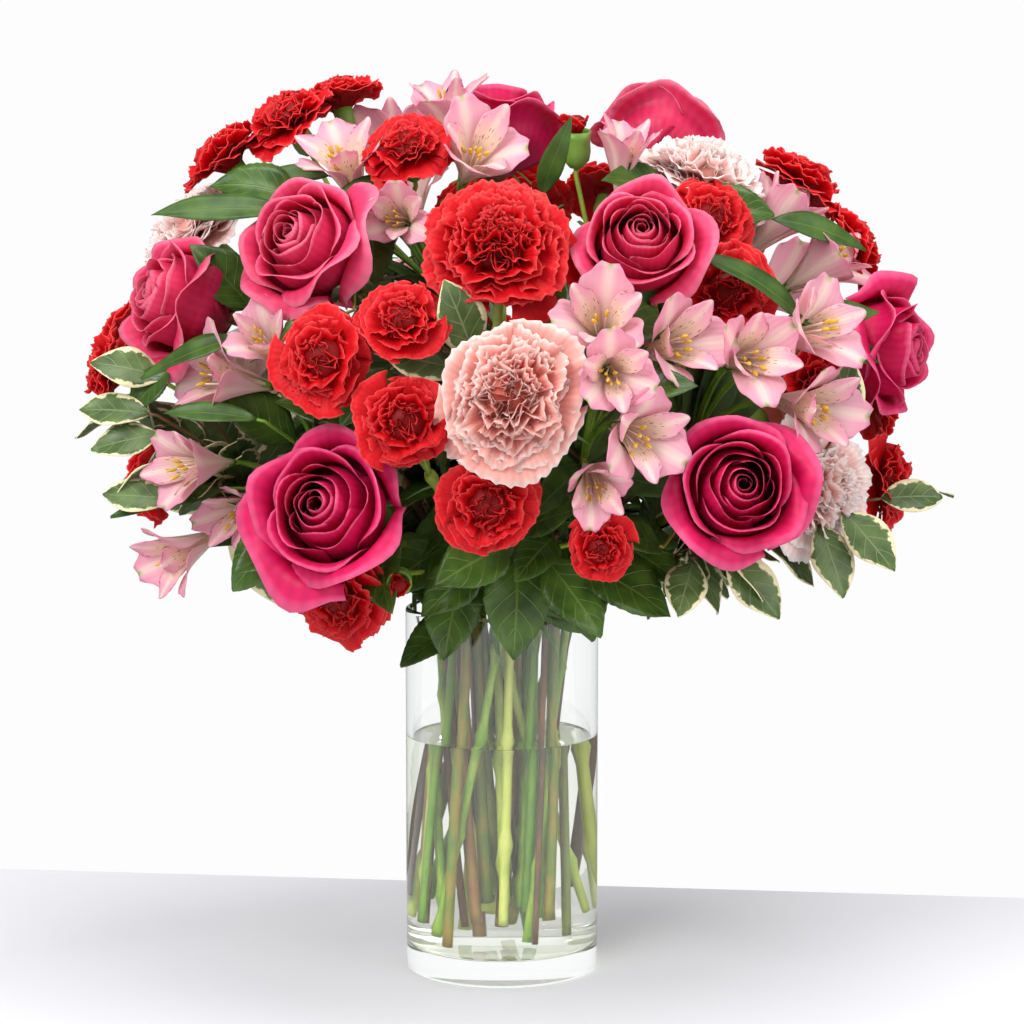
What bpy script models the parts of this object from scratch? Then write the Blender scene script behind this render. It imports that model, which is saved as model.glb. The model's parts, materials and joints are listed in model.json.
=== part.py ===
"""A mixed bouquet standing in a glass cylinder vase with water.

Standard carnations, spray carnations, roses, alstroemeria and greens are arranged as a
dome over the vase. Metres, +Z up. The origin is the centre of the vase's flat underside
and the bouquet's front faces -Y.

Every plant is one cut stem. It stands in the water along a straight line, leaves the vase
at the neck, and bends to its heads. The straight stretches cross each other freely, and
their cut ends slide over the vase's floor until every pair has room. Above the neck a few
rounds of gentle pushing keep stems and heads clear of each other in the same way.
"""
import math
from dataclasses import dataclass

import bmesh
import bpy
import numpy as np
from mathutils import Matrix, Vector

MM = 0.001
WELD = 0.01 * MM

# Vase and water
VASE_RADIUS = 51 * MM
VASE_HEIGHT = 194 * MM
VASE_WALL = 3.5 * MM
VASE_FLOOR = 13.5 * MM
RIM_ROUND = 0.8 * MM
WATER_LEVEL = 125 * MM
TURNED_SIDES = 40
GAP = 0.3 * MM
CHANNEL_SIDES = 8

# Stems in the vase
NECK_Z = VASE_HEIGHT + 6 * MM
NECK_REACH = 41 * MM
NECK_SPACING = 5.5 * MM
NECK_FULL_LEAN = math.radians(75)
NECK_SWING_STEP = 0.01
NECK_ROUNDS = 400
NECK_PUSH = 0.25
LEAST_RISE = 10 * MM
NOT_ZERO = 1e-9
NECK_TWIST = math.radians(96)
NECK_LEAN = 0.95
FOOT_LOWEST = 18 * MM
FOOT_REACH = 39.5 * MM
FOOT_SWING = math.radians(150)
FOOT_SEED = 39
FOOT_ROUNDS = 1500
FOOT_PUSH = 0.3
STEM_ROOM = 1.9 * MM
FOOT_STEP = 3 * MM
FOOT_STEPS = 8
FOOT_STRIDE = 5
STEM_SIDES_LEVEL = 1
BRANCH_SIDES_LEVEL = 0

# Settling of the stems above the neck
BEAD_STEP = 8 * MM
BEAD_SKIN = 1.6 * MM
SETTLE_ROUNDS = 70
STEM_STIFFNESS = 0.3
PLACE_PULL = 0.04
BEAD_PUSH = 0.5
RIM_BEADS = 80
RIM_BEAD_SKIN = 0.5 * MM
RIM_BEAD_DROP = 2 * MM
LONGEST_FORK = 0.6
BRANCH_SWING = 0.7
LEAF_BEADS = (-0.55, 0, 0.6)
LEAF_BEAD_WIDTH = 0.36
SOLID_POINT_EVERY = 3
SHOOT_LAP = 2.5 * MM
KNUCKLE = 1.5
STEM_TIP = 8 * MM

DOME_CENTRE = Vector((0, 0, 0.25))


@dataclass(frozen=True)
class Kind:
    """Shape of one kind of head: an outline of (radius, height) in mm from its base up.

    beads are the (height, radius) spheres that stand for it while the stems settle, and
    heart is the height of its middle.
    """

    outline: tuple
    beads: tuple
    heart: float


KINDS = {
    "rose": Kind(((4, 0), (10, 6), (31, 28), (35, 40), (33, 50), (27, 56)),
                 ((6, 9), (20, 22), (40, 35)), 38),
    "carnation": Kind(((3.4, 0), (7.5, 5), (8, 21), (32, 35), (32, 45), (22, 53)),
                      ((5, 8), (18, 11), (39, 32)), 38),
    "mini": Kind(((2.2, 0), (5, 4), (5.5, 14), (19, 22), (18, 29), (11, 34)),
                 ((4, 5), (12, 7), (25, 19)), 24),
    "bud": Kind(((2.2, 0), (5, 4), (6, 14), (8, 19), (5, 25)), ((4, 6), (17, 9)), 14),
    "floret": Kind(((1.8, 0), (3, 6), (8, 20), (17, 38)), ((6, 4), (18, 9), (32, 17)), 30),
}
SINGLE_SIDES = 10
SMALL_SIDES = 8
LEAF_THICKNESS = 1.4 * MM
LEAF_SINK = 0.45
LEAF_UPWARD = 0.4
LEAF_SIDES = 8

# Soft corners of the glass
FLOOR_CORNER = 3 * MM
BASE_CORNER = 1.5 * MM


@dataclass(frozen=True)
class Species:
    """Stem radius, branch radius, how far below its heads a stem branches, and colours."""

    stem: float
    branch: float
    fork: float
    stem_colour: str


SPECIES = {
    "rose": Species(3.2 * MM, 0, 0, "6E7A35"),
    "carnation": Species(2.4 * MM, 0, 0, "8DA96A"),
    "spray_carnation": Species(2.3 * MM, 1.3 * MM, 62 * MM, "9DB57A"),
    "alstroemeria": Species(2.6 * MM, 1.5 * MM, 48 * MM, "8CA84A"),
    "pittosporum": Species(1.9 * MM, 1.0 * MM, 45 * MM, "7A6A40"),
    "salal": Species(2.1 * MM, 1.1 * MM, 40 * MM, "7E5A34"),
}

PINK_ROSE, RED, SALMON, BLUSH = "D81B60", "D8000F", "E8A49C", "F6CFC9"
ALSTRO_PINK, VARIEGATED, DEEP_GREEN = "EDB6BF", "6F7F55", "3F5F1A"


@dataclass(frozen=True)
class Head:
    """A bloom, bud or leaf: its middle in mm, the way it looks or points, its size in mm."""

    kind: str
    place: tuple
    look: tuple
    size: float = 1.0
    width: float = 0.0


@dataclass(frozen=True)
class Plant:
    """One cut stem with its heads."""

    name: str
    species: str
    colour: str
    heads: tuple


def single(name, species, colour, place, look, size=1.0):
    """A stem with one bloom."""
    return Plant(name, species, colour, (Head(species, place, look, size),))


# The arrangement: places in mm from the origin, looks as plain directions.
PLANTS = (
    single("rose_1", "rose", PINK_ROSE, (-80, -135, 265), (-3, -9, 3), 1.1),
    single("rose_2", "rose", PINK_ROSE, (115, -130, 270), (1, -9, 2), 1.1),
    single("rose_3", "rose", PINK_ROSE, (65, -105, 385), (0, -8, 4)),
    single("rose_4", "rose", PINK_ROSE, (-98, -85, 385), (-5, -7, 4)),
    single("rose_5", "rose", PINK_ROSE, (-172, -35, 358), (-8, -4, 3)),
    single("rose_6", "rose", PINK_ROSE, (200, -20, 328), (9, -4, 0)),
    single("rose_7", "rose", PINK_ROSE, (-5, 35, 455), (0, 1, 9)),
    single("rose_8", "rose", PINK_ROSE, (88, 60, 445), (2, 6, 7)),
    single("rose_9", "rose", PINK_ROSE, (-95, 110, 385), (-5, 8, 5)),
    single("rose_10", "rose", PINK_ROSE, (80, 145, 330), (3, 9, 3)),
    single("rose_11", "rose", PINK_ROSE, (-55, 150, 265), (-2, 9, 1)),
    single("carnation_1", "carnation", RED, (0, -115, 388), (0, -7, 5), 1.1),
    single("carnation_2", "carnation", SALMON, (5, -155, 315), (0, -10, 2), 1.05),
    single("carnation_3", "carnation", BLUSH, (165, -62, 262), (7, -6, 0), 1.05),
    single("carnation_4", "carnation", BLUSH, (105, -10, 425), (2, -2, 8)),
    single("carnation_5", "carnation", BLUSH, (-165, 35, 400), (-6, -1, 6)),
    single("carnation_6", "carnation", RED, (0, 120, 405), (0, 7, 6), 1.05),
    single("carnation_7", "carnation", BLUSH, (-155, 90, 300), (-7, 6, 2)),
    single("carnation_8", "carnation", SALMON, (155, 95, 290), (7, 6, 2)),
    Plant("spray_carnation_1", "spray_carnation", RED, (
        Head("mini", (-148, 15, 430), (-5, -1, 6), 1.1),
        Head("mini", (-115, 5, 452), (-4, -3, 7), 1.1),
        Head("mini", (-88, 30, 465), (-2, 1, 8)),
        Head("mini", (-46, -55, 436), (-1, -5, 6)))),
    Plant("spray_carnation_2", "spray_carnation", RED, (
        Head("mini", (-47, -135, 352), (0, -7, 5)),
        Head("mini", (-86, -135, 333), (-2, -9, 2), 1.1),
        Head("mini", (-42, -145, 300), (0, -9, 1), 1.1))),
    Plant("spray_carnation_3", "spray_carnation", RED, (
        Head("mini", (-6, -143, 262), (0, -9, 0), 1.1),
        Head("mini", (48, -135, 244), (0, -9, -1), 0.8),
        Head("mini", (-82, -95, 208), (-3, -8, -3), 1.15),
        Head("bud", (-50, -105, 220), (0, -9, -1)))),
    Plant("spray_carnation_4", "spray_carnation", RED, (
        Head("mini", (108, -55, 400), (3, -7, 4)),
        Head("mini", (113, -75, 362), (2, -9, 1), 1.1),
        Head("bud", (39, -35, 440), (0, -2, 8), 1.2))),
    Plant("spray_carnation_5", "spray_carnation", RED, (
        Head("mini", (163, 32, 420), (5, 1, 7), 1.15),
        Head("mini", (188, 22, 385), (8, -1, 4), 1.15),
        Head("mini", (166, -45, 316), (6, -7, 1), 0.9))),
    Plant("spray_carnation_6", "spray_carnation", RED, (
        Head("mini", (205, -12, 262), (9, -3, 0), 1.1),
        Head("mini", (205, 50, 300), (9, 3, 1)),
        Head("mini", (180, 60, 245), (8, 4, -1)))),
    Plant("spray_carnation_7", "spray_carnation", RED, (
        Head("mini", (-210, 0, 318), (-9, -2, 1)),
        Head("bud", (-197, -25, 300), (-8, -4, -1), 1.2),
        Head("mini", (-205, 60, 335), (-8, 4, 3), 1.1),
        Head("mini", (-195, 60, 255), (-8, 4, 0)))),
    Plant("spray_carnation_8", "spray_carnation", RED, (
        Head("mini", (-10, 170, 325), (0, 9, 2), 1.1),
        Head("mini", (10, 165, 280), (0, 9, 0), 1.1),
        Head("mini", (60, 110, 415), (2, 6, 6)),
        Head("mini", (115, 130, 380), (4, 7, 4)))),
    Plant("alstroemeria_1", "alstroemeria", ALSTRO_PINK, (
        Head("floret", (-80, -38, 428), (-2, -5, 7)),
        Head("floret", (-54, -75, 398), (-1, -8, 1)),
        Head("floret", (-28, -10, 455), (-2, -2, 9)),
        Head("floret", (-13, -50, 432), (2, -6, 4)))),
    Plant("alstroemeria_2", "alstroemeria", ALSTRO_PINK, (
        Head("floret", (62, -42, 432), (1, -3, 8)),
        Head("floret", (145, -5, 400), (5, -1, 6)),
        Head("floret", (172, -5, 378), (7, -2, 5)))),
    Plant("alstroemeria_3", "alstroemeria", ALSTRO_PINK, (
        Head("floret", (122, -105, 332), (3, -8, 2)),
        Head("floret", (155, -92, 345), (6, -6, 3)),
        Head("floret", (155, -95, 305), (6, -7, -1)))),
    Plant("alstroemeria_4", "alstroemeria", ALSTRO_PINK, (
        Head("floret", (50, -125, 352), (-1, -8, 4)),
        Head("floret", (86, -115, 338), (5, -7, 2)),
        Head("floret", (48, -150, 322), (1, -9, 0)),
        Head("floret", (64, -145, 298), (4, -8, -1)),
        Head("floret", (46, -135, 268), (1, -8, -2)))),
    Plant("alstroemeria_5", "alstroemeria", ALSTRO_PINK, (
        Head("floret", (-142, -72, 320), (-8, -4, 2)),
        Head("floret", (-115, -90, 342), (-2, -7, 5)),
        Head("floret", (-157, -75, 275), (-6, -6, 0)),
        Head("floret", (-165, -60, 228), (-6, -5, -3)),
        Head("floret", (-135, -55, 250), (-4, -7, -2)))),
    Plant("alstroemeria_6", "alstroemeria", ALSTRO_PINK, (
        Head("floret", (-60, 60, 440), (-2, 3, 8)),
        Head("floret", (-45, 155, 355), (-2, 8, 3)),
        Head("floret", (-95, 140, 325), (-4, 8, 2)),
        Head("floret", (-50, 110, 420), (-1, 6, 6)))),
    Plant("alstroemeria_7", "alstroemeria", ALSTRO_PINK, (
        Head("floret", (155, 75, 360), (6, 5, 3)),
        Head("floret", (125, 135, 270), (4, 8, -1)),
        Head("floret", (60, 160, 260), (1, 9, -2)),
        Head("floret", (120, 110, 330), (5, 8, 2)))),
    Plant("pittosporum_1", "pittosporum", VARIEGATED, (
        Head("leaf", (-200, -42, 280), (-8, -3, -1), 36, 20),
        Head("leaf", (-180, -60, 255), (-7, -4, -3), 40, 15),
        Head("leaf", (-190, 20, 280), (-9, 1, 0), 36, 20))),
    Plant("pittosporum_2", "pittosporum", VARIEGATED, (
        Head("leaf", (222, 12, 240), (9, 1, -1), 34, 20),
        Head("leaf", (190, -25, 222), (6, -3, -7), 34, 15),
        Head("leaf", (190, 15, 305), (5, 0, 8), 36, 20))),
    Plant("pittosporum_3", "pittosporum", VARIEGATED, (
        Head("leaf", (122, -88, 212), (4, -3, -5), 42, 24),
        Head("leaf", (102, -68, 205), (3, -2, -6), 40, 22),
        Head("leaf", (145, -66, 212), (6, -2, -4), 34, 16))),
    Plant("salal_1", "salal", DEEP_GREEN, (
        Head("leaf", (-25, -68, 186), (-2, -3, -8), 46, 26),
        Head("leaf", (8, -81, 193), (0, -3, -8), 54, 31),
        Head("leaf", (39, -78, 200), (3, -3, -7), 52, 32),
        Head("leaf", (66, -80, 219), (8, -4, -3), 52, 30))),
    Plant("salal_2", "salal", DEEP_GREEN, (
        Head("leaf", (-70, 75, 205), (-5, 4, -6), 56, 34),
        Head("leaf", (-20, 92, 204), (-1, 4, -7), 56, 34),
        Head("leaf", (35, 90, 206), (3, 4, -7), 56, 34),
        Head("leaf", (85, 68, 212), (7, 4, -4), 58, 34))),
)


def clear_scene():
    """Remove whatever the scene holds."""
    for thing in list(bpy.data.objects):
        bpy.data.objects.remove(thing, do_unlink=True)


def collection(name):
    """A new collection in the scene."""
    group = bpy.data.collections.new(name)
    bpy.context.scene.collection.children.link(group)
    return group


def linear(hex_colour):
    """An sRGB hex colour as linear values with alpha."""
    parts = [int(hex_colour[i:i + 2], 16) / 255 for i in (0, 2, 4)]
    return [p / 12.92 if p <= 0.04045 else ((p + 0.055) / 1.055) ** 2.4 for p in parts] + [1]


def finish(name, hex_colour, roughness, alpha=1.0):
    """A Principled material."""
    material = bpy.data.materials.new(name)
    material.use_nodes = True
    shader = material.node_tree.nodes["Principled BSDF"]
    shader.inputs["Base Color"].default_value = linear(hex_colour)
    shader.inputs["Roughness"].default_value = roughness
    shader.inputs["Alpha"].default_value = alpha
    return material


def facing(direction):
    """A rotation whose Z runs along direction."""
    z = Vector(direction).normalized()
    lean = Vector((1, 0, 0)) if abs(z.z) > 0.9 else Vector((0, 0, 1))
    x = (lean - z * lean.dot(z)).normalized()
    return Matrix((x, z.cross(x), z)).transposed().to_4x4()


# ------------------------------------------------------------------ arrangement

def head_base(head, place, look):
    """Where the head meets its stem, in metres."""
    if head.kind == "leaf":
        return place - look * head.size * MM / 2
    return place - look * KINDS[head.kind].heart * head.size * MM


def head_beads(head, place, look):
    """The spheres (centre, radius) that stand for a head while the stems settle."""
    if head.kind == "leaf":
        reach = head.size * MM / 2
        radius = head.width * MM * LEAF_BEAD_WIDTH
        return [(place + look * reach * share, radius) for share in LEAF_BEADS]
    base = head_base(head, place, look)
    scale = head.size * MM
    return [(base + look * h * scale, r * scale) for h, r in KINDS[head.kind].beads]


def neck_places():
    """Where each stem passes the neck: below its heads, and apart from the others."""
    spots = []
    for index, plant in enumerate(PLANTS):
        middle = sum((Vector(h.place) for h in plant.heads), Vector()) / len(plant.heads) * MM
        lean = math.atan2(middle.xy.length, max(middle.z - VASE_HEIGHT, LEAST_RISE))
        swing = math.atan2(middle.y, middle.x) + NECK_SWING_STEP * index
        reach = NECK_REACH * min(1.0, lean / NECK_FULL_LEAN)
        spots.append((reach * math.cos(swing), reach * math.sin(swing)))
    spots = np.array(spots)
    radii = np.array([SPECIES[p.species].stem for p in PLANTS])
    room = radii[:, None] + radii[None, :] + NECK_SPACING
    for _ in range(NECK_ROUNDS):
        apart = spots[:, None] - spots[None, :]
        distance = np.linalg.norm(apart, axis=2) + NOT_ZERO
        short = np.clip(room - distance, 0, None)
        np.fill_diagonal(short, 0)
        spots += NECK_PUSH * (apart / distance[..., None] * short[..., None]).sum(axis=1)
        out = np.linalg.norm(spots, axis=1)
        spots *= np.minimum(1, NECK_REACH / np.maximum(out, NOT_ZERO))[:, None]
    return spots


def foot_places(necks):
    """Where each stem's line meets the lowest level, with room between all the lines."""
    chance = np.random.default_rng(FOOT_SEED)
    swing = chance.uniform(-FOOT_SWING, FOOT_SWING, len(necks))
    cos, sin = np.cos(swing), np.sin(swing)
    feet = np.stack([cos * necks[:, 0] - sin * necks[:, 1],
                     sin * necks[:, 0] + cos * necks[:, 1]], axis=1)
    radii = np.array([SPECIES[p.species].stem for p in PLANTS])
    room = radii[:, None] + radii[None, :] + STEM_ROOM
    top = necks[:, None] - necks[None, :]
    for _ in range(FOOT_ROUNDS):
        change = feet[:, None] - feet[None, :] - top
        share = -(top * change).sum(axis=2) / ((change ** 2).sum(axis=2) + NOT_ZERO ** 2)
        share = np.clip(share, 0, 1)
        near = top + change * share[..., None]
        distance = np.linalg.norm(near, axis=2) + NOT_ZERO
        short = np.clip(room - distance, 0, None)
        np.fill_diagonal(short, 0)
        feet += FOOT_PUSH * (near / distance[..., None] * (short * share)[..., None]).sum(axis=1)
        out = np.linalg.norm(feet, axis=1)
        feet *= np.minimum(1, FOOT_REACH / np.maximum(out, NOT_ZERO))[:, None]
    return feet


def cut_end(low, neck, index):
    """The cut end of a stem, a little up its line from the lowest level."""
    cut = FOOT_STEP * (index * FOOT_STRIDE % FOOT_STEPS)
    return low + (neck - low) * cut / (neck.z - low.z)


def neck_way(neck):
    """The direction in which a stem leaves the neck, as the bunch spreads with one twist."""
    low = Matrix.Rotation(NECK_TWIST, 2) @ neck.xy * NECK_LEAN
    return (neck - Vector((low.x, low.y, FOOT_LOWEST))).normalized()


def bend(start, start_way, end, end_way):
    """Points along a smooth bend from start to end, about one bead step apart."""
    span = (end - start).length
    count = max(2, round(span / BEAD_STEP))
    points = []
    for i in range(count + 1):
        t = i / count
        points.append(start * (2 * t ** 3 - 3 * t ** 2 + 1)
                      + start_way * span * (t ** 3 - 2 * t ** 2 + t)
                      + end * (3 * t ** 2 - 2 * t ** 3) + end_way * span * (t ** 3 - t ** 2))
    return points


class Bouquet:
    """The plants as chains of beads, which settle until nothing touches."""

    def __init__(self):
        self.places, self.radii, self.owner, self.freedom, self.rigid = [], [], [], [], []
        self.routes = []
        self.heads = []
        self.lay_rim()
        necks = neck_places()
        for index, (plant, neck, low) in enumerate(zip(PLANTS, necks, foot_places(necks))):
            neck, low = Vector((*neck, NECK_Z)), Vector((*low, FOOT_LOWEST))
            self.lay_plant(index, plant, neck, cut_end(low, neck, index))

    def bead(self, place, radius, owner, freedom, rigid=-1):
        """Add a bead and give its number."""
        self.places.append(tuple(place))
        self.radii.append(radius)
        self.owner.append(owner)
        self.freedom.append(freedom)
        self.rigid.append(rigid)
        return len(self.places) - 1

    def lay_rim(self):
        """Fixed beads round the vase's rim."""
        reach = VASE_RADIUS - VASE_WALL / 2
        for i in range(RIM_BEADS):
            angle = 2 * math.pi * i / RIM_BEADS
            place = (reach * math.cos(angle), reach * math.sin(angle), VASE_HEIGHT - RIM_BEAD_DROP)
            self.bead(place, VASE_WALL / 2 + RIM_BEAD_SKIN, -1, 0)

    def lay_plant(self, index, plant, neck, foot):
        """Beads of one plant: its stem above the neck, its branches and its heads."""
        species = SPECIES[plant.species]
        rise = neck_way(neck)
        ends = []
        for head in plant.heads:
            place, look = Vector(head.place) * MM, Vector(head.look).normalized()
            group = len(self.heads)
            self.heads.append((index, head, place, look))
            freedom = 0 if head.kind == "leaf" else 1
            for centre, radius in head_beads(head, place, look):
                self.bead(centre, radius, index, freedom, group)
            ends.append((head_base(head, place, look), look, group))
        if len(ends) == 1:
            base, look, group = ends[0]
            self.lay_route(index, species.stem, bend(neck, rise, base, look), group, foot)
            return
        middle = sum((base for base, _, _ in ends), Vector()) / len(ends)
        way = middle - neck
        fork = middle - way.normalized() * min(species.fork, way.length * LONGEST_FORK)
        stem = bend(neck, rise, fork, way.normalized())
        stem_beads = self.lay_route(index, species.stem, stem, -1, foot)
        for base, look, group in ends:
            start = ((base - fork).normalized() + way.normalized()).normalized()
            route = bend(fork, start * BRANCH_SWING, base, look * BRANCH_SWING)
            self.lay_route(index, species.branch, route, group, None, stem_beads[-1])

    def lay_route(self, index, radius, points, group, foot, first=None):
        """Beads along a stem or branch. Its last bead moves with the head it carries."""
        beads = []
        for number, point in enumerate(points):
            if number == 0 and first is not None:
                beads.append(first)
                continue
            tied = group if number == len(points) - 1 else -1
            freedom = 0 if number == 0 else 1
            if tied >= 0 and self.heads[tied][1].kind == "leaf":
                freedom = 0
            beads.append(self.bead(point, radius + BEAD_SKIN, index, freedom, tied))
        self.routes.append((index, radius, beads, foot, group))
        return beads

    def settle(self):
        """Push overlapping beads apart, a little at a time, and smooth the stems."""
        place = np.array(self.places)
        home = place.copy()
        radius = np.array(self.radii)
        owner, rigid = np.array(self.owner), np.array(self.rigid)
        freedom = np.array(self.freedom, dtype=float)
        room = radius[:, None] + radius[None, :]
        same = owner[:, None] == owner[None, :]
        both_heads = (rigid[:, None] >= 0) & (rigid[None, :] >= 0)
        free_pair = ~same | (both_heads & (rigid[:, None] != rigid[None, :]))
        share = freedom[:, None] / np.maximum(freedom[:, None] + freedom[None, :], NOT_ZERO)
        for _ in range(SETTLE_ROUNDS):
            apart = place[:, None] - place[None, :]
            distance = np.linalg.norm(apart, axis=2) + NOT_ZERO
            short = np.where(free_pair, np.clip(room + GAP - distance, 0, None), 0)
            push = (apart / distance[..., None] * (short * share)[..., None]).sum(axis=1)
            for group in range(len(self.heads)):
                members = rigid == group
                touched = np.linalg.norm(push[members], axis=1) > 0
                step = push[members].sum(axis=0) / max(1, touched.sum())
                back = (home[members] - place[members]).mean(axis=0)
                push[members] = step + PLACE_PULL * back
            place += BEAD_PUSH * push * freedom[:, None]
            for _, _, beads, _, _ in self.routes:
                inner = beads[1:-1]
                middle = (place[beads[:-2]] + place[beads[2:]]) / 2
                place[inner] += STEM_STIFFNESS * (middle - place[inner])
        self.places = place
        self.moved = place - home

    def head_shift(self, group):
        """How far a head has moved while settling."""
        return Vector(self.moved[self.rigid.index(group)])

    def route_points(self, beads, foot):
        """A stem's or branch's centre line, thinned to the points a solid needs."""
        count = max(2, round((len(beads) - 1) / SOLID_POINT_EVERY) + 1)
        picks = [beads[round(i * (len(beads) - 1) / (count - 1))] for i in range(count)]
        points = [Vector(self.places[i]) for i in picks]
        return ([foot] if foot else []) + points


# ----------------------------------------------------------------------- solids

def keep(thing, group, material):
    """Put an object in a collection and give it its material."""
    for other in thing.users_collection:
        other.objects.unlink(thing)
    group.objects.link(thing)
    thing.data.materials.clear()
    thing.data.materials.append(material)
    return thing


def turned(name, outline, sides, group, matrix=None):
    """A turned solid from an outline of (radius, height) in metres, from its top down."""
    mesh = bpy.data.meshes.new(name)
    shape = bmesh.new()
    corners = [shape.verts.new((r, 0, z)) for r, z in outline]
    for upper, lower in zip(corners, corners[1:]):
        shape.edges.new((upper, lower))
    shape.to_mesh(mesh)
    shape.free()
    thing = bpy.data.objects.new(name, mesh)
    group.objects.link(thing)
    screw = thing.modifiers.new("turn", "SCREW")
    screw.steps = screw.render_steps = sides
    screw.use_merge_vertices = True
    screw.merge_threshold = WELD
    screw.use_smooth_shade = False
    if matrix:
        thing.matrix_world = matrix
    return thing


def evaluated(thing, name=None):
    """A plain mesh object of the evaluated shape, in world space, with its caps welded."""
    bpy.context.view_layer.update()
    graph = bpy.context.evaluated_depsgraph_get()
    mesh = bpy.data.meshes.new_from_object(thing.evaluated_get(graph))
    shape = bmesh.new()
    shape.from_mesh(mesh)
    bmesh.ops.transform(shape, matrix=thing.matrix_world, verts=shape.verts)
    bmesh.ops.remove_doubles(shape, verts=shape.verts, dist=WELD)
    shape.to_mesh(mesh)
    shape.free()
    mesh.materials.clear()
    group, wanted = thing.users_collection[0], name or thing.name
    bpy.data.objects.remove(thing, do_unlink=True)
    fresh = bpy.data.objects.new(wanted, mesh)
    group.objects.link(fresh)
    return fresh


def tube(name, points, radius, group, sides_level=STEM_SIDES_LEVEL):
    """A stem as a bevelled curve with filled caps, made a mesh."""
    curve = bpy.data.curves.new(name, "CURVE")
    curve.dimensions = "3D"
    curve.bevel_depth = radius
    curve.bevel_resolution = sides_level
    curve.use_fill_caps = True
    spline = curve.splines.new("POLY")
    spline.points.add(len(points) - 1)
    for corner, point in zip(spline.points, points):
        corner.co = (*point, 1)
    thing = bpy.data.objects.new(name, curve)
    group.objects.link(thing)
    return evaluated(thing)


def head_solid(head, place, look, name, group):
    """The closed solid of a bloom or bud, turned about the way it looks."""
    scale = head.size * MM
    outline = [(r * scale, h * scale) for r, h in reversed(KINDS[head.kind].outline)]
    outline = [(0, outline[0][1])] + outline + [(0, 0)]
    sides = SINGLE_SIDES if head.kind in ("rose", "carnation") else SMALL_SIDES
    matrix = Matrix.Translation(head_base(head, place, look)) @ facing(look)
    return turned(name, outline, sides, group, matrix)


def knuckle(name, place, radius, group):
    """The swollen joint where a stem branches."""
    mesh = bpy.data.meshes.new(name)
    shape = bmesh.new()
    bmesh.ops.create_icosphere(shape, subdivisions=1, radius=radius,
                               matrix=Matrix.Translation(place))
    shape.to_mesh(mesh)
    shape.free()
    thing = bpy.data.objects.new(name, mesh)
    group.objects.link(thing)
    return thing


def leaf_solid(head, place, look, name, group):
    """A flat leaf: an eight-sided oval of even thickness, facing away from the dome."""
    mesh = bpy.data.meshes.new(name)
    shape = bmesh.new()
    bmesh.ops.create_circle(shape, cap_ends=True, segments=LEAF_SIDES, radius=0.5)
    scale = Matrix.Diagonal((head.width * MM, head.size * MM, 1, 1))
    bmesh.ops.transform(shape, matrix=scale, verts=shape.verts)
    lifted = bmesh.ops.extrude_face_region(shape, geom=list(shape.faces))
    top = [v for v in lifted["geom"] if isinstance(v, bmesh.types.BMVert)]
    bmesh.ops.translate(shape, verts=top, vec=(0, 0, LEAF_THICKNESS))
    bmesh.ops.translate(shape, verts=shape.verts, vec=(0, 0, -LEAF_THICKNESS * LEAF_SINK))
    bmesh.ops.recalc_face_normals(shape, faces=shape.faces)
    out = (place - DOME_CENTRE).normalized() + Vector((0, 0, LEAF_UPWARD))
    side = look.cross(out).normalized()
    turn = Matrix((side, look, side.cross(look))).transposed().to_4x4()
    bmesh.ops.transform(shape, matrix=Matrix.Translation(place) @ turn, verts=shape.verts)
    shape.to_mesh(mesh)
    shape.free()
    thing = bpy.data.objects.new(name, mesh)
    group.objects.link(thing)
    return thing


def fused(name, pieces, group):
    """One body from overlapping pieces."""
    body = pieces[0]
    for piece in pieces[1:]:
        joint = body.modifiers.new("join", "BOOLEAN")
        joint.operation = "UNION"
        joint.solver = "EXACT"
        joint.object = piece
    whole = evaluated(body, name)
    for piece in pieces[1:]:
        bpy.data.objects.remove(piece, do_unlink=True)
    return whole


def make_vase(group):
    """A straight glass cylinder with a thick floor and a softly rounded rim."""
    r, wall, h, floor, soft = VASE_RADIUS, VASE_WALL, VASE_HEIGHT, VASE_FLOOR, RIM_ROUND
    outline = [(0, floor), (r - wall - FLOOR_CORNER, floor), (r - wall, floor + FLOOR_CORNER),
               (r - wall, h - soft), (r - wall + soft, h), (r - soft, h), (r, h - soft),
               (r, BASE_CORNER), (r - BASE_CORNER, 0), (0, 0)]
    return keep(turned("vase", outline, TURNED_SIDES, group), group,
                finish("clear_glass", "F4F8F6", 0.02, 0.35))


def make_water(group, cutters, bouquet):
    """The water, with a channel round each stem that stands in it."""
    r = VASE_RADIUS - VASE_WALL - GAP
    low = VASE_FLOOR + GAP
    outline = [(0, WATER_LEVEL), (r, WATER_LEVEL), (r, low + FLOOR_CORNER),
               (r - FLOOR_CORNER, low), (0, low)]
    water = keep(turned("water", outline, TURNED_SIDES, group), group,
                 finish("water", "EEF4F2", 0.0, 0.35))
    channels = bmesh.new()
    for _, radius, beads, foot, _ in bouquet.routes:
        if foot is None:
            continue
        neck = Vector(bouquet.places[beads[0]])
        way = (neck - foot).normalized()
        start = foot - way * 4 * GAP
        length = (neck - start).length
        matrix = Matrix.Translation(start + way * length / 2) @ facing(way)
        wide = (radius + GAP) / math.cos(math.pi / CHANNEL_SIDES)
        bmesh.ops.create_cone(channels, cap_ends=True, segments=CHANNEL_SIDES, depth=length,
                              radius1=wide, radius2=wide, matrix=matrix)
    mesh = bpy.data.meshes.new("stem_channels")
    channels.to_mesh(mesh)
    channels.free()
    cutter = bpy.data.objects.new("stem_channels", mesh)
    cutters.objects.link(cutter)
    cutter.hide_render = True
    cutter.display_type = "WIRE"
    cut = water.modifiers.new("stem_channels", "BOOLEAN")
    cut.operation = "DIFFERENCE"
    cut.solver = "EXACT"
    cut.object = cutter


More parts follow.
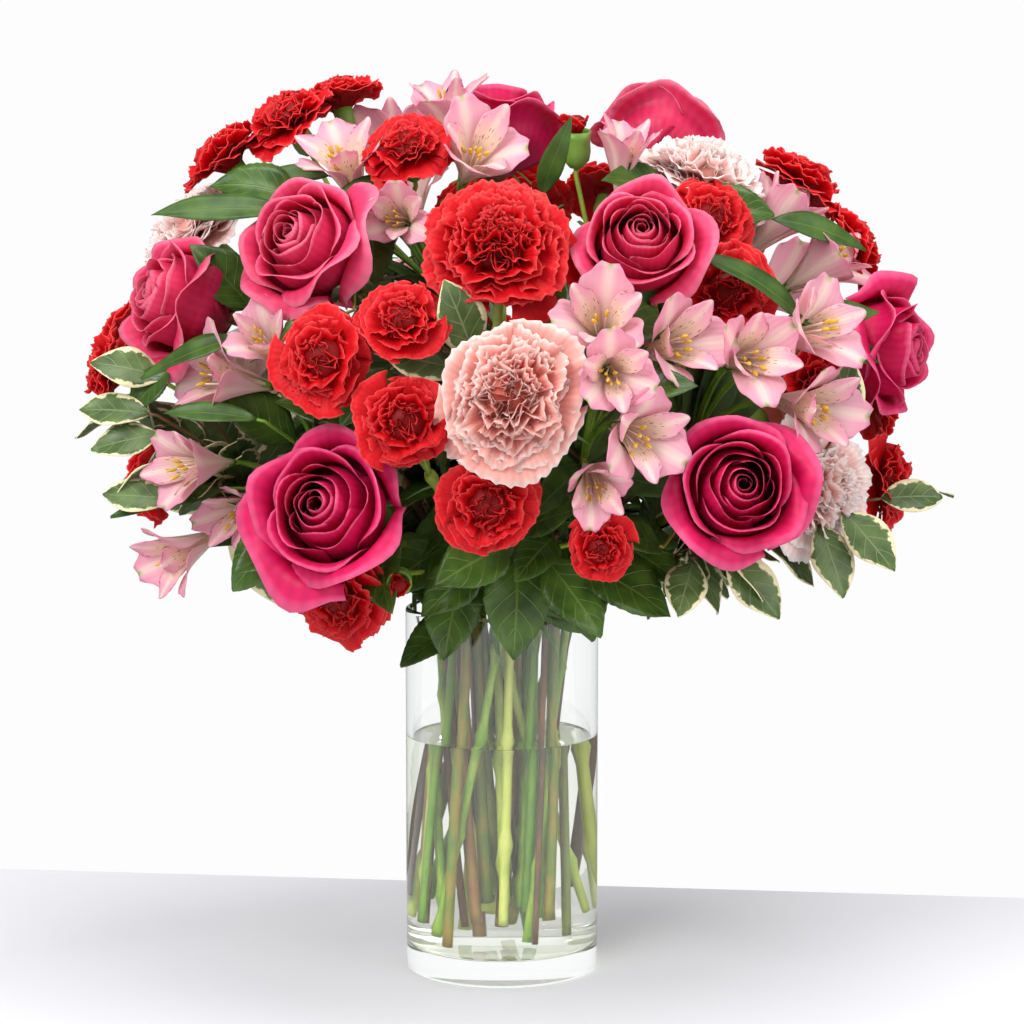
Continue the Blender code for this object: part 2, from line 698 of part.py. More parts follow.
def make_single(plant, route, head, place, look, bouquet, group):
    """A stem and its one bloom, with a hairline gap between them."""
    _, radius, beads, foot, _ = route
    points = bouquet.route_points(beads, foot)
    end = points.pop() - look * GAP
    points += [end - look * STEM_TIP, end]
    stem = tube(plant.name + "_stem", points, radius, group)
    keep(stem, group, finish(plant.name + "_stem", SPECIES[plant.species].stem_colour, 0.5))
    bloom = head_solid(head, place, look, plant.name + "_bloom", group)
    keep(bloom, group, finish(plant.name + "_bloom", plant.colour, 0.6))


def make_branching(plant, routes, heads, bouquet, group):
    """A stem with its branches, blooms, buds and leaves as one grown piece."""
    fork = Vector(bouquet.places[routes[0][2][-1]])
    swelling = SPECIES[plant.species].stem * KNUCKLE
    pieces = [knuckle(plant.name + "_knuckle", fork, swelling, group)]
    for number, (_, radius, beads, foot, _) in enumerate(routes):
        points = bouquet.route_points(beads, foot)
        if foot is None:
            points[-1] = points[-1] + (points[-1] - points[-2]).normalized() * SHOOT_LAP
        level = STEM_SIDES_LEVEL if foot else BRANCH_SIDES_LEVEL
        pieces.append(tube(f"{plant.name}_shoot_{number}", points, radius, group, level))
    for number, (head, place, look) in enumerate(heads):
        name = f"{plant.name}_head_{number}"
        make = leaf_solid if head.kind == "leaf" else head_solid
        pieces.append(make(head, place, look, name, group))
    whole = fused(plant.name, pieces, group)
    keep(whole, group, finish(plant.name, plant.colour, 0.6))


def main():
    """Build the vase, the water and every plant."""
    clear_scene()
    parts, cutters = collection("bouquet_in_vase"), collection("cutters")
    bouquet = Bouquet()
    bouquet.settle()
    make_vase(parts)
    make_water(parts, cutters, bouquet)
    for index, plant in enumerate(PLANTS):
        routes = [route for route in bouquet.routes if route[0] == index]
        heads = [(head, place + bouquet.head_shift(group), look)
                 for group, (owner, head, place, look) in enumerate(bouquet.heads)
                 if owner == index]
        if len(heads) == 1:
            make_single(plant, routes[0], *heads[0], bouquet, parts)
        else:
            make_branching(plant, routes, heads, bouquet, parts)


main()
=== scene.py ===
"""Looks of a mixed bouquet standing in water in a clear glass cylinder.

Roses, standard and spray carnations, alstroemeria and greens. Every bloom, leaf and stem
takes its place, its facing and its size from the plain solid that stands for it in the
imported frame. Lengths in the classes are millimetres and are made metres where they are used.
"""

import json
import logging
import math
import random
import zlib
from dataclasses import dataclass, field
from enum import Enum
from typing import Any, Callable, Iterable

import bmesh
import bpy
from mathutils import Matrix, Vector


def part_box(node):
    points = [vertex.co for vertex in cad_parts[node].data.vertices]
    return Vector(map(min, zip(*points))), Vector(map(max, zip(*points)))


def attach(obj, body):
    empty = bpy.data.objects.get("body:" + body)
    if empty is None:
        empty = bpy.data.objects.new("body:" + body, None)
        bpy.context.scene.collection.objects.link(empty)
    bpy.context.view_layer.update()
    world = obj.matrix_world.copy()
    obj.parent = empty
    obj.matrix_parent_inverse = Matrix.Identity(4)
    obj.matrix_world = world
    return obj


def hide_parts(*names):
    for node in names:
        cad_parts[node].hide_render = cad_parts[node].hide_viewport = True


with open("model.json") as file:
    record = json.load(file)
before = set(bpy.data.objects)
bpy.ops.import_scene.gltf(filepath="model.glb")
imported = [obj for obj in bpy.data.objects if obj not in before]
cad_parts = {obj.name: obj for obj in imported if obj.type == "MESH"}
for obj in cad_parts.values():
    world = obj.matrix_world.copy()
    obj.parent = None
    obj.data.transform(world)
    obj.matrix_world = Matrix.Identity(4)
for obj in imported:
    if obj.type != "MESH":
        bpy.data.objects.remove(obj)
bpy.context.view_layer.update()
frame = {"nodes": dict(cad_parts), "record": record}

LOG = logging.getLogger("bouquet")
MM = 0.001
GOLDEN_ANGLE = math.radians(137.508)
UV_NAME = "surface"
TONE_NAME = "tone"
DOME_CENTRE = Vector((0.0, 0.0, 0.25))
UP = Vector((0.0, 0.0, 1.0))
ROSE_HIP = ((0, -1), (3, -0.5), (5, 3), (5.5, 6), (4, 9), (0, 10))
OVARY = ((0, -1), (1.8, 0), (3.2, 3), (2.6, 6), (0, 7))
# outlines on a radius and a height of 1: a carnation's green cup, and the dense heart in it
CUP = ((0.45, 0.0), (0.9, 0.2), (1.0, 0.45), (0.95, 0.8), (1.02, 1.0), (0.8, 0.95), (0.5, 0.6))
HEART = ((1.0, 0.45), (0.85, 0.75), (0.45, 0.94), (0.0, 1.0))


# ---------------------------------------------------------------- small sums

def blend(low: float, high: float, share: float) -> float:
    """The value that lies a share of the way from low to high."""
    return low + (high - low) * share


def ease(value: float) -> float:
    """A soft step from 0 to 1."""
    value = min(1.0, max(0.0, value))
    return value * value * (3.0 - 2.0 * value)


def seeded(name: str) -> random.Random:
    """A random source that depends only on a name."""
    return random.Random(zlib.crc32(name.encode()))


def srgb(hex_colour: str) -> tuple[float, float, float, float]:
    """An sRGB hex colour as linear values.

    Args:
        hex_colour: Six hex digits.

    Returns:
        Red, green, blue and an alpha of 1.
    """
    parts = [int(hex_colour[i:i + 2], 16) / 255.0 for i in (0, 2, 4)]
    linear = [p / 12.92 if p <= 0.04045 else ((p + 0.055) / 1.055) ** 2.4 for p in parts]
    return linear[0], linear[1], linear[2], 1.0


def aim(direction: Vector, lean: Vector = UP) -> Matrix:
    """A turn that takes Z to a direction and keeps Y leaning another way.

    Args:
        direction: Where Z goes.
        lean: What Y leans towards, as far as it can.

    Returns:
        A 4x4 rotation.
    """
    z = direction.normalized()
    if abs(z.dot(lean.normalized())) > 0.98:
        lean = Vector((0.0, 1.0, 0.1))
    x = lean.cross(z).normalized()
    return Matrix((x, z.cross(x), z)).transposed().to_4x4()


# ----------------------------------------------------------------- materials

def add_node(tree: bpy.types.NodeTree, kind: str, settings: dict[str, Any] | None = None,
             links: dict[Any, Any] | None = None) -> bpy.types.Node:
    """Add a node with its settings and links.

    Args:
        tree: The node tree.
        kind: The node's type name.
        settings: Attributes to set on the node.
        links: Input name or number to a socket to link from, or to a plain value.

    Returns:
        The node.
    """
    node = tree.nodes.new(kind)
    for name, value in (settings or {}).items():
        setattr(node, name, value)
    for key, value in (links or {}).items():
        if isinstance(value, bpy.types.NodeSocket):
            tree.links.new(value, node.inputs[key])
        else:
            node.inputs[key].default_value = value
    return node


def ramp(tree: bpy.types.NodeTree, source: bpy.types.NodeSocket,
         stops: Iterable[tuple[float, str]]) -> bpy.types.NodeSocket:
    """A colour that follows a value.

    Args:
        tree: The node tree.
        source: The value.
        stops: Positions from 0 to 1 with their hex colours.

    Returns:
        The colour socket.
    """
    node = add_node(tree, "ShaderNodeValToRGB", links={"Fac": source})
    elements = node.color_ramp.elements
    stops = list(stops)
    while len(elements) < len(stops):
        elements.new(0.5)
    for element, (position, colour) in zip(elements, stops):
        element.position = position
        element.color = srgb(colour)
    return node.outputs["Color"]


def open_material(name: str) -> tuple[bpy.types.Material, bpy.types.NodeTree, bpy.types.Node]:
    """A new material with only its output node.

    Args:
        name: The material's name.

    Returns:
        The material, its tree and its output node.
    """
    material = bpy.data.materials.new(name)
    material.use_nodes = True
    tree = material.node_tree
    tree.nodes.clear()
    return material, tree, add_node(tree, "ShaderNodeOutputMaterial")


@dataclass(frozen=True)
class PetalFinish:
    """A living petal: a velvety cuticle over thin tissue that light partly passes.

    Attributes:
        name: The material's name.
        stops: Colours from the petal's foot to its rim.
        painted_shade: Colour of painted shade, multiplied in where a petal's tone is low, as on
            the petals of the heart deep in the bloom.
        rough: Roughness of the cuticle.
        passing: Share of light that passes through the tissue.
        vein: Depth of the fine lengthwise veins in the bump, 0 to 1.
        vein_count: Veins across the petal, which stand about 1 mm apart.
        velvet: Weight of the sheen that tiny surface cells give.
    """

    name: str
    stops: tuple[tuple[float, str], ...]
    painted_shade: str = "D8D8D8"
    rough: float = 0.55
    passing: float = 0.25
    vein: float = 0.25
    vein_count: float = 26.0
    velvet: float = 0.25

    def make(self) -> bpy.types.Material:
        """Build the material.

        Returns:
            The material.
        """
        material, tree, out = open_material(self.name)
        uv = add_node(tree, "ShaderNodeUVMap", {"uv_map": UV_NAME}).outputs["UV"]
        split = add_node(tree, "ShaderNodeSeparateXYZ", links={"Vector": uv})
        mottle = add_node(tree, "ShaderNodeTexNoise",
                          links={"Vector": uv, "Scale": 5.0, "Detail": 3.0})
        wander = add_node(tree, "ShaderNodeMath", {"operation": "MULTIPLY_ADD"},
                          {0: mottle.outputs["Fac"], 1: 0.06, 2: -0.03})
        along = add_node(tree, "ShaderNodeMath", {"operation": "ADD"},
                         {0: split.outputs["Y"], 1: wander.outputs[0]})
        colour = ramp(tree, along.outputs[0], self.stops)
        # painted shade: a low tone, which the heart's petals carry, multiplies the colour towards
        # the painted shade colour
        tone = add_node(tree, "ShaderNodeAttribute", {"attribute_name": TONE_NAME})
        painted_shade = ramp(tree, tone.outputs["Fac"], ((0.0, self.painted_shade), (1.0, "FFFFFF")))
        body = add_node(tree, "ShaderNodeMix", {"data_type": "RGBA", "blend_type": "MULTIPLY"},
                        {"Factor": 1.0, 6: colour, 7: painted_shade})
        veins = add_node(tree, "ShaderNodeTexWave", {"bands_direction": "X"},
                         {"Vector": uv, "Scale": self.vein_count / 6.3, "Distortion": 1.2,
                          "Detail": 2.0, "Detail Scale": 2.0})
        fine = add_node(tree, "ShaderNodeMix", {"data_type": "RGBA", "blend_type": "MULTIPLY"},
                        {"Factor": self.vein * 0.35, 6: body.outputs[2],
                         7: veins.outputs["Color"]})
        bump = add_node(tree, "ShaderNodeBump",
                        links={"Strength": self.vein, "Distance": 0.0004,
                               "Height": veins.outputs["Fac"]})
        skin = add_node(tree, "ShaderNodeBsdfPrincipled",
                        links={"Base Color": fine.outputs[2], "Roughness": self.rough,
                               "Specular IOR Level": 0.28, "Sheen Weight": self.velvet,
                               "Sheen Roughness": 0.4,
                               "Sheen Tint": srgb(self.stops[-1][1]),
                               "Normal": bump.outputs["Normal"]})
        glow = add_node(tree, "ShaderNodeBsdfTranslucent",
                        links={"Color": fine.outputs[2], "Normal": bump.outputs["Normal"]})
        mixed = add_node(tree, "ShaderNodeMixShader",
                         links={0: self.passing, 1: skin.outputs[0], 2: glow.outputs[0]})
        tree.links.new(mixed.outputs[0], out.inputs["Surface"])
        return material


@dataclass(frozen=True)
class LeafFinish:
    """A fresh leaf: a waxy skin over green tissue, paler at its veins or its margin.

    Attributes:
        name: The material's name.
        blade: Two greens that the blade wanders between.
        rib: Colour of the midrib and side veins.
        margin: Colour of the edge, for a variegated leaf, or None.
        side_veins: Side veins on each half.
        rough: Roughness of the wax.
    """

    name: str
    blade: tuple[str, str]
    rib: str
    margin: str | None = None
    side_veins: float = 7.0
    rough: float = 0.38

    def make(self) -> bpy.types.Material:
        """Build the material.

        Returns:
            The material.
        """
        material, tree, out = open_material(self.name)
        uv = add_node(tree, "ShaderNodeUVMap", {"uv_map": UV_NAME}).outputs["UV"]
        split = add_node(tree, "ShaderNodeSeparateXYZ", links={"Vector": uv})
        place = add_node(tree, "ShaderNodeTexCoord").outputs["Object"]
        mottle = add_node(tree, "ShaderNodeTexNoise",
                          links={"Vector": place, "Scale": 90.0, "Detail": 4.0})
        blade = ramp(tree, mottle.outputs["Fac"], ((0.35, self.blade[0]), (0.65, self.blade[1])))
        centred = add_node(tree, "ShaderNodeMath", {"operation": "SUBTRACT"},
                           {0: split.outputs["X"], 1: 0.5})
        out_from_rib = add_node(tree, "ShaderNodeMath", {"operation": "ABSOLUTE"},
                                {0: centred.outputs[0]})
        # side veins leave the midrib forwards, so the wave's phase falls with the distance
        slant = add_node(tree, "ShaderNodeMath", {"operation": "MULTIPLY_ADD"},
                         {0: out_from_rib.outputs[0], 1: -0.55, 2: split.outputs["Y"]})
        phase = add_node(tree, "ShaderNodeMath", {"operation": "MULTIPLY"},
                         {0: slant.outputs[0], 1: self.side_veins * math.tau})
        wave = add_node(tree, "ShaderNodeMath", {"operation": "SINE"}, {0: phase.outputs[0]})
        thin = add_node(tree, "ShaderNodeMapRange",
                        links={"Value": wave.outputs[0], "From Min": 0.93, "From Max": 1.0})
        rib = add_node(tree, "ShaderNodeMapRange",
                       links={"Value": out_from_rib.outputs[0], "From Min": 0.03,
                              "From Max": 0.012})
        lines = add_node(tree, "ShaderNodeMath", {"operation": "MAXIMUM"},
                         {0: rib.outputs[0], 1: thin.outputs[0]})
        weight = add_node(tree, "ShaderNodeMath", {"operation": "MULTIPLY"},
                          {0: lines.outputs[0], 1: 0.6})
        veined = add_node(tree, "ShaderNodeMix", {"data_type": "RGBA"},
                          {"Factor": weight.outputs[0], 6: blade, 7: srgb(self.rib)})
        body = veined.outputs[2]
        if self.margin:
            ragged = add_node(tree, "ShaderNodeTexNoise",
                              links={"Vector": place, "Scale": 260.0, "Detail": 2.0})
            reach = add_node(tree, "ShaderNodeMath", {"operation": "MULTIPLY_ADD"},
                             {0: ragged.outputs["Fac"], 1: 0.34, 2: out_from_rib.outputs[0]})
            edge = add_node(tree, "ShaderNodeMapRange",
                            links={"Value": reach.outputs[0], "From Min": 0.56,
                                   "From Max": 0.60})
            variegated = add_node(tree, "ShaderNodeMix", {"data_type": "RGBA"},
                                  {"Factor": edge.outputs[0], 6: body, 7: srgb(self.margin)})
            body = variegated.outputs[2]
        bump = add_node(tree, "ShaderNodeBump",
                        links={"Strength": 0.5, "Distance": 0.0006,
                               "Height": lines.outputs[0]})
        skin = add_node(tree, "ShaderNodeBsdfPrincipled",
                        links={"Base Color": body, "Roughness": self.rough,
                               "Specular IOR Level": 0.45, "Normal": bump.outputs["Normal"]})
        glow = add_node(tree, "ShaderNodeBsdfTranslucent", links={"Color": body})
        mixed = add_node(tree, "ShaderNodeMixShader",
                         links={0: 0.18, 1: skin.outputs[0], 2: glow.outputs[0]})
        tree.links.new(mixed.outputs[0], out.inputs["Surface"])
        return material


@dataclass(frozen=True)
class StemFinish:
    """A cut stem: waxy green rind with darker flecks and streaks along its length.

    Attributes:
        name: The material's name.
        tints: Colours that the rind wanders between.
        rough: Roughness of the rind.
        patch: Length of a patch of colour in mm.
    """

    name: str
    tints: tuple[str, str, str]
    rough: float = 0.42
    patch: float = 22.0

    def make(self) -> bpy.types.Material:
        """Build the material.

        Returns:
            The material.
        """
        material, tree, out = open_material(self.name)
        place = add_node(tree, "ShaderNodeTexCoord").outputs["Object"]
        stretch = add_node(tree, "ShaderNodeMapping",
                           links={"Vector": place, "Scale": (3.0, 3.0, 1.0)})
        patches = add_node(tree, "ShaderNodeTexNoise",
                           links={"Vector": stretch.outputs[0], "Scale": 1000.0 / self.patch,
                                  "Detail": 4.0, "Roughness": 0.6})
        tone = add_node(tree, "ShaderNodeAttribute", {"attribute_name": TONE_NAME})
        own = add_node(tree, "ShaderNodeMath", {"operation": "MULTIPLY_ADD"},
                       {0: tone.outputs["Fac"], 1: 0.5, 2: patches.outputs["Fac"]})
        tint = ramp(tree, own.outputs[0],
                    ((0.5, self.tints[0]), (0.74, self.tints[1]), (0.98, self.tints[2])))
        flecks = add_node(tree, "ShaderNodeTexNoise",
                          links={"Vector": stretch.outputs[0], "Scale": 420.0, "Detail": 2.0})
        dark = add_node(tree, "ShaderNodeMapRange",
                        links={"Value": flecks.outputs["Fac"], "From Min": 0.62,
                               "From Max": 0.75, "To Max": 0.35})
        body = add_node(tree, "ShaderNodeMix", {"data_type": "RGBA"},
                        {"Factor": dark.outputs[0], 6: tint, 7: srgb("4A4A1E")})
        bump = add_node(tree, "ShaderNodeBump",
                        links={"Strength": 0.25, "Distance": 0.0005,
                               "Height": patches.outputs["Fac"]})
        skin = add_node(tree, "ShaderNodeBsdfPrincipled",
                        links={"Base Color": body.outputs[2], "Roughness": self.rough,
                               "Normal": bump.outputs["Normal"]})
        tree.links.new(skin.outputs[0], out.inputs["Surface"])
        return material


@dataclass(frozen=True)
class ClearFinish:
    """A clear body, such as pressed soda-lime glass or water. Light passes its shadow.

    Attributes:
        name: The material's name.
        ior: How strongly it bends light.
        tint: Colour of what passes.
        rough: Roughness, near nothing for a fire-polished or still surface.
    """

    name: str
    ior: float
    tint: str
    rough: float = 0.0

    def make(self) -> bpy.types.Material:
        """Build the material.

        Returns:
            The material.
        """
        material, tree, out = open_material(self.name)
        body = add_node(tree, "ShaderNodeBsdfPrincipled",
                        links={"Base Color": srgb(self.tint), "Roughness": self.rough,
                               "IOR": self.ior, "Transmission Weight": 1.0})
        clear = add_node(tree, "ShaderNodeBsdfTransparent", links={"Color": srgb(self.tint)})
        path = add_node(tree, "ShaderNodeLightPath")
        mixed = add_node(tree, "ShaderNodeMixShader",
                         links={0: path.outputs["Is Shadow Ray"], 1: body.outputs[0],
                                2: clear.outputs[0]})
        tree.links.new(mixed.outputs[0], out.inputs["Surface"])
        return material


@dataclass(frozen=True)
class PlainFinish:
    """A dull even surface with a little wander in its tint, such as pollen or card.

    Attributes:
        name: The material's name.
        tints: Two colours it wanders between.
        rough: Roughness.
        scale: Patches to the metre.
    """

    name: str
    tints: tuple[str, str]
    rough: float = 0.7
    scale: float = 600.0

    def make(self) -> bpy.types.Material:
        """Build the material.

        Returns:
            The material.
        """
        material, tree, out = open_material(self.name)
        place = add_node(tree, "ShaderNodeTexCoord").outputs["Object"]
        patches = add_node(tree, "ShaderNodeTexNoise",
                           links={"Vector": place, "Scale": self.scale, "Detail": 3.0})
        tint = ramp(tree, patches.outputs["Fac"], ((0.35, self.tints[0]), (0.65, self.tints[1])))
        skin = add_node(tree, "ShaderNodeBsdfPrincipled",
                        links={"Base Color": tint, "Roughness": self.rough,
                               "Specular IOR Level": 0.3})
        tree.links.new(skin.outputs[0], out.inputs["Surface"])
        return material


@dataclass(frozen=True)
class TepalFinish:
    """An alstroemeria tepal: thin pink tissue, a cream middle, a green tip and dark flecks.

    Attributes:
        name: The material's name.
        flecked: Whether it is one of the inner tepals, which carry flecks on cream.
    """

    name: str
    flecked: bool

    def make(self) -> bpy.types.Material:
        """Build the material.

        Returns:
            The material.
        """
        material, tree, out = open_material(self.name)
        uv = add_node(tree, "ShaderNodeUVMap", {"uv_map": UV_NAME}).outputs["UV"]
        split = add_node(tree, "ShaderNodeSeparateXYZ", links={"Vector": uv})
        centred = add_node(tree, "ShaderNodeMath", {"operation": "SUBTRACT"},
                           {0: split.outputs["X"], 1: 0.5})
        off = add_node(tree, "ShaderNodeMath", {"operation": "ABSOLUTE"},
                       {0: centred.outputs[0]})
        along = ramp(tree, split.outputs["Y"],
                     ((0.0, "C2C488"), (0.22, "F2D8CC"), (0.5, "F6CFD6"), (0.82, "F2BCCB"),
                      (1.0, "EAA3BC")))
        pale = add_node(tree, "ShaderNodeMapRange",
                        links={"Value": off.outputs[0], "From Min": 0.17, "From Max": 0.04,
                               "To Max": 0.75})
        cream = add_node(tree, "ShaderNodeMix", {"data_type": "RGBA"},
                         {"Factor": pale.outputs[0], 6: along, 7: srgb("F8E6DC")})
        body = cream.outputs[2]
        if self.flecked:
            grain = add_node(tree, "ShaderNodeMapping",
                             links={"Vector": uv, "Scale": (22.0, 9.0, 1.0)})
            cells = add_node(tree, "ShaderNodeTexVoronoi",
                             links={"Vector": grain.outputs[0], "Scale": 1.0,
                                    "Randomness": 0.8})
            spot = add_node(tree, "ShaderNodeMapRange",
                            links={"Value": cells.outputs["Distance"], "From Min": 0.26,
                                   "From Max": 0.2})
            reach = add_node(tree, "ShaderNodeMapRange",
                             links={"Value": split.outputs["Y"], "From Min": 0.88,
                                    "From Max": 0.8, "To Max": 0.9})
            yellow = add_node(tree, "ShaderNodeMapRange",
                              links={"Value": split.outputs["Y"], "From Min": 0.82,
                                     "From Max": 0.6, "To Max": 0.6})
            warm = add_node(tree, "ShaderNodeMix", {"data_type": "RGBA"},
                            {"Factor": yellow.outputs[0], 6: body, 7: srgb("F6EBCB")})
            amount = add_node(tree, "ShaderNodeMath", {"operation": "MULTIPLY"},
                              {0: spot.outputs[0], 1: reach.outputs[0]})
            flecks = add_node(tree, "ShaderNodeMix", {"data_type": "RGBA"},
                              {"Factor": amount.outputs[0], 6: warm.outputs[2],
                               7: srgb("7A1F38")})
            body = flecks.outputs[2]
        else:
            tip = add_node(tree, "ShaderNodeMapRange",
                           links={"Value": split.outputs["Y"], "From Min": 0.92,
                                  "From Max": 0.99})
            narrow = add_node(tree, "ShaderNodeMapRange",
                              links={"Value": off.outputs[0], "From Min": 0.12,
                                     "From Max": 0.03, "To Max": 0.8})
            amount = add_node(tree, "ShaderNodeMath", {"operation": "MULTIPLY"},
                              {0: tip.outputs[0], 1: narrow.outputs[0]})
            green = add_node(tree, "ShaderNodeMix", {"data_type": "RGBA"},
                             {"Factor": amount.outputs[0], 6: body, 7: srgb("A4A85C")})
            body = green.outputs[2]
        veins = add_node(tree, "ShaderNodeTexWave", {"bands_direction": "X"},
                         {"Vector": uv, "Scale": 3.0, "Distortion": 1.5, "Detail": 2.0})
        bump = add_node(tree, "ShaderNodeBump",
                        links={"Strength": 0.3, "Distance": 0.0004,
                               "Height": veins.outputs["Fac"]})
        skin = add_node(tree, "ShaderNodeBsdfPrincipled",
                        links={"Base Color": body, "Roughness": 0.5,
                               "Specular IOR Level": 0.3, "Sheen Weight": 0.15,
                               "Normal": bump.outputs["Normal"]})
        glow = add_node(tree, "ShaderNodeBsdfTranslucent", links={"Color": body})
        mixed = add_node(tree, "ShaderNodeMixShader",
                         links={0: 0.45, 1: skin.outputs[0], 2: glow.outputs[0]})
        tree.links.new(mixed.outputs[0], out.inputs["Surface"])
        return material


class Finish(Enum):
    """Every finish of the bouquet, each built once."""

    # Rose petals grow with cone-shaped cells inside, which drink the light like velvet, and
    # flat ones outside, which give a satin gloss. The colour runs paler to the rim, and inside it
    # runs darker to the foot as painted shade deep in the bloom.
    ROSE_INSIDE = PetalFinish(
        "rose_petal_inside_velvety",
        ((0.0, "A80434"), (0.4, "C80846"), (0.75, "D81258"), (0.93, "E02268"), (1.0, "F4689A")),
        painted_shade="E87E98", rough=0.45, passing=0.34, velvet=0.08)
    ROSE_OUTSIDE = PetalFinish(
        "rose_petal_outside_satin",
        ((0.0, "C9A070"), (0.1, "C83062"), (0.4, "CE1454"), (0.9, "D81C60"), (1.0, "F472A0")),
        painted_shade="E05C78", rough=0.4, passing=0.34, velvet=0.08)
    # The same grown tissue in the coral roses, with less pigment, so more light comes through.
    # Its inside ramp also runs darker to the foot as painted shade.
    PALE_ROSE_INSIDE = PetalFinish(
        "coral_rose_petal_inside_velvety",
        ((0.0, "B80E3C"), (0.4, "D61C4E"), (0.75, "E22E60"), (0.93, "EA4474"), (1.0, "F688A6")),
        painted_shade="F08C9E", rough=0.45, passing=0.34, velvet=0.08)
    PALE_ROSE_OUTSIDE = PetalFinish(
        "coral_rose_petal_outside_satin",
        ((0.0, "D2B080"), (0.1, "DC4C6E"), (0.4, "DE2E60"), (0.9, "E43C6E"), (1.0, "F688A6")),
        painted_shade="E8788A", rough=0.4, passing=0.36, velvet=0.08)
    # Carnation petals are matt crinkled tissue, grown folded in the bud. Full pigment, so the
    # folds stay a clear red down to the foot, where the ramp darkens it as painted shade deep in
    # the head.
    RED_PETAL = PetalFinish(
        "scarlet_carnation_petal_matt",
        ((0.0, "A00008"), (0.45, "C8020E"), (0.8, "DA0416"), (0.95, "E81424"), (1.0, "F65A58")),
        painted_shade="E8A8A8", rough=0.55, passing=0.36, velvet=0.04, vein_count=40.0)
    # Picotee tissue: salmon with a rim that grew without pigment and draws each fold in white.
    SALMON_PETAL = PetalFinish(
        "salmon_carnation_petal_matt",
        ((0.0, "F09484"), (0.5, "F29C8E"), (0.8, "F3ACA0"), (0.93, "F6C4BA"), (1.0, "FFF0EA")),
        painted_shade="FAD6CE", rough=0.6, passing=0.4, velvet=0.05, vein_count=40.0)
    # Nearly unpigmented tissue, which glows where light comes through its folds.
    BLUSH_PETAL = PetalFinish(
        "blush_carnation_petal_matt",
        ((0.0, "FDC4B8"), (0.5, "FED6CC"), (0.85, "FEE4DF"), (1.0, "FFFAF8")),
        painted_shade="FFF0EC", rough=0.6, passing=0.4, velvet=0.05, vein_count=40.0)
    # Alstroemeria tepals: thin silky tissue, plain with a green tip outside, cream with dark
    # flecks inside.
    OUTER_TEPAL = TepalFinish("alstroemeria_outer_tepal", False)
    INNER_TEPAL = TepalFinish("alstroemeria_flecked_tepal", True)
    # The cup under a carnation: fleshy and covered in fine wax, so a soft pale green.
    CALYX = LeafFinish("carnation_calyx_waxy", ("6F9A3A", "8DB050"), "A9C46A", rough=0.4)
    # Rose leaf: a hard cuticle grown over dark tissue, which gives a clear gloss.
    ROSE_LEAF = LeafFinish("rose_leaf_glossy", ("2C4816", "4A6824"), "62802E", rough=0.32)
    # Broad evergreen leaf: leathery, thick wax, with a paler net of veins pressed in.
    SALAL_LEAF = LeafFinish("broad_leaf_leathery", ("34501A", "507026"), "74903C", side_veins=6.0,
                            rough=0.3)
    # Alstroemeria leaf: soft and thin with hardly any wax, so a broad dull shine.
    LANCE_LEAF = LeafFinish("alstroemeria_leaf_soft", ("304C18", "486824"), "647F36",
                            side_veins=0.0, rough=0.45)
    # Carnation leaf: bloomed with grey wax that scatters light.
    GREY_LEAF = LeafFinish("carnation_leaf_waxy", ("6F8A5C", "8CA678"), "A5B990",
                           side_veins=0.0, rough=0.5)
    # Pittosporum leaf: olive tissue in a margin that grew without green, under firm wax.
    VARIEGATED_LEAF = LeafFinish("pittosporum_leaf_variegated", ("42592C", "647C46"), "8E9C70",
                                 margin="EDE3B8", side_veins=5.0, rough=0.35)
    # Cut stems: a grown rind, smooth and reddening on roses, waxy on carnations, thin and full
    # of sap on alstroemeria, turning to fine bark on the twigs.
    ROSE_STEM = StemFinish("rose_stem_smooth_rind", ("52701A", "86742A", "7A5228"))
    CARNATION_STEM = StemFinish("carnation_stem_waxy_rind", ("6A8C26", "94A83C", "B4BC5C"))
    ALSTRO_STEM = StemFinish("alstroemeria_stem_juicy_rind", ("4C7E16", "6C9028", "6A6A38"))
    WOODY_STEM = StemFinish("woody_green_twig_bark", ("42341E", "6A4420", "50502A"), rough=0.6)
    # Pollen grains on the anthers are dry powder: no gloss at all.
    ANTHER = PlainFinish("anther_with_pollen", ("B98424", "E2C04F"), 0.85, 2500.0)
    # Filaments are pale waxy threads.
    FILAMENT = PlainFinish("filament_waxy", ("F3DFC4", "F0C9C4"), 0.5, 400.0)
    # Pressed soda-lime glass, fire-polished: no roughness, and the faintest tint.
    GLASS = ClearFinish("soda_lime_glass_pressed_clear", 1.5, "FEFFFE")
    # Still tap water with a trace of sap.
    WATER = ClearFinish("still_water", 1.333, "F9FAF2")
    # A painted board, rolled matt.
    FLOOR = PlainFinish("pale_matt_table", ("D4D4D8", "D6D6DA"), 0.6, 3.0)

    def material(self) -> bpy.types.Material:
        """The finish's material, built on first use."""
        return bpy.data.materials.get(self.value.name) or self.value.make()


# ------------------------------------------------------------------ geometry

def new_shape() -> bmesh.types.BMesh:
    """Start a shape with the UV map and the tone that every petal and leaf carries.

    Returns:
        The empty shape.
    """
    shape = bmesh.new()
    shape.loops.layers.uv.new(UV_NAME)
    shape.verts.layers.float.new(TONE_NAME)
    return shape


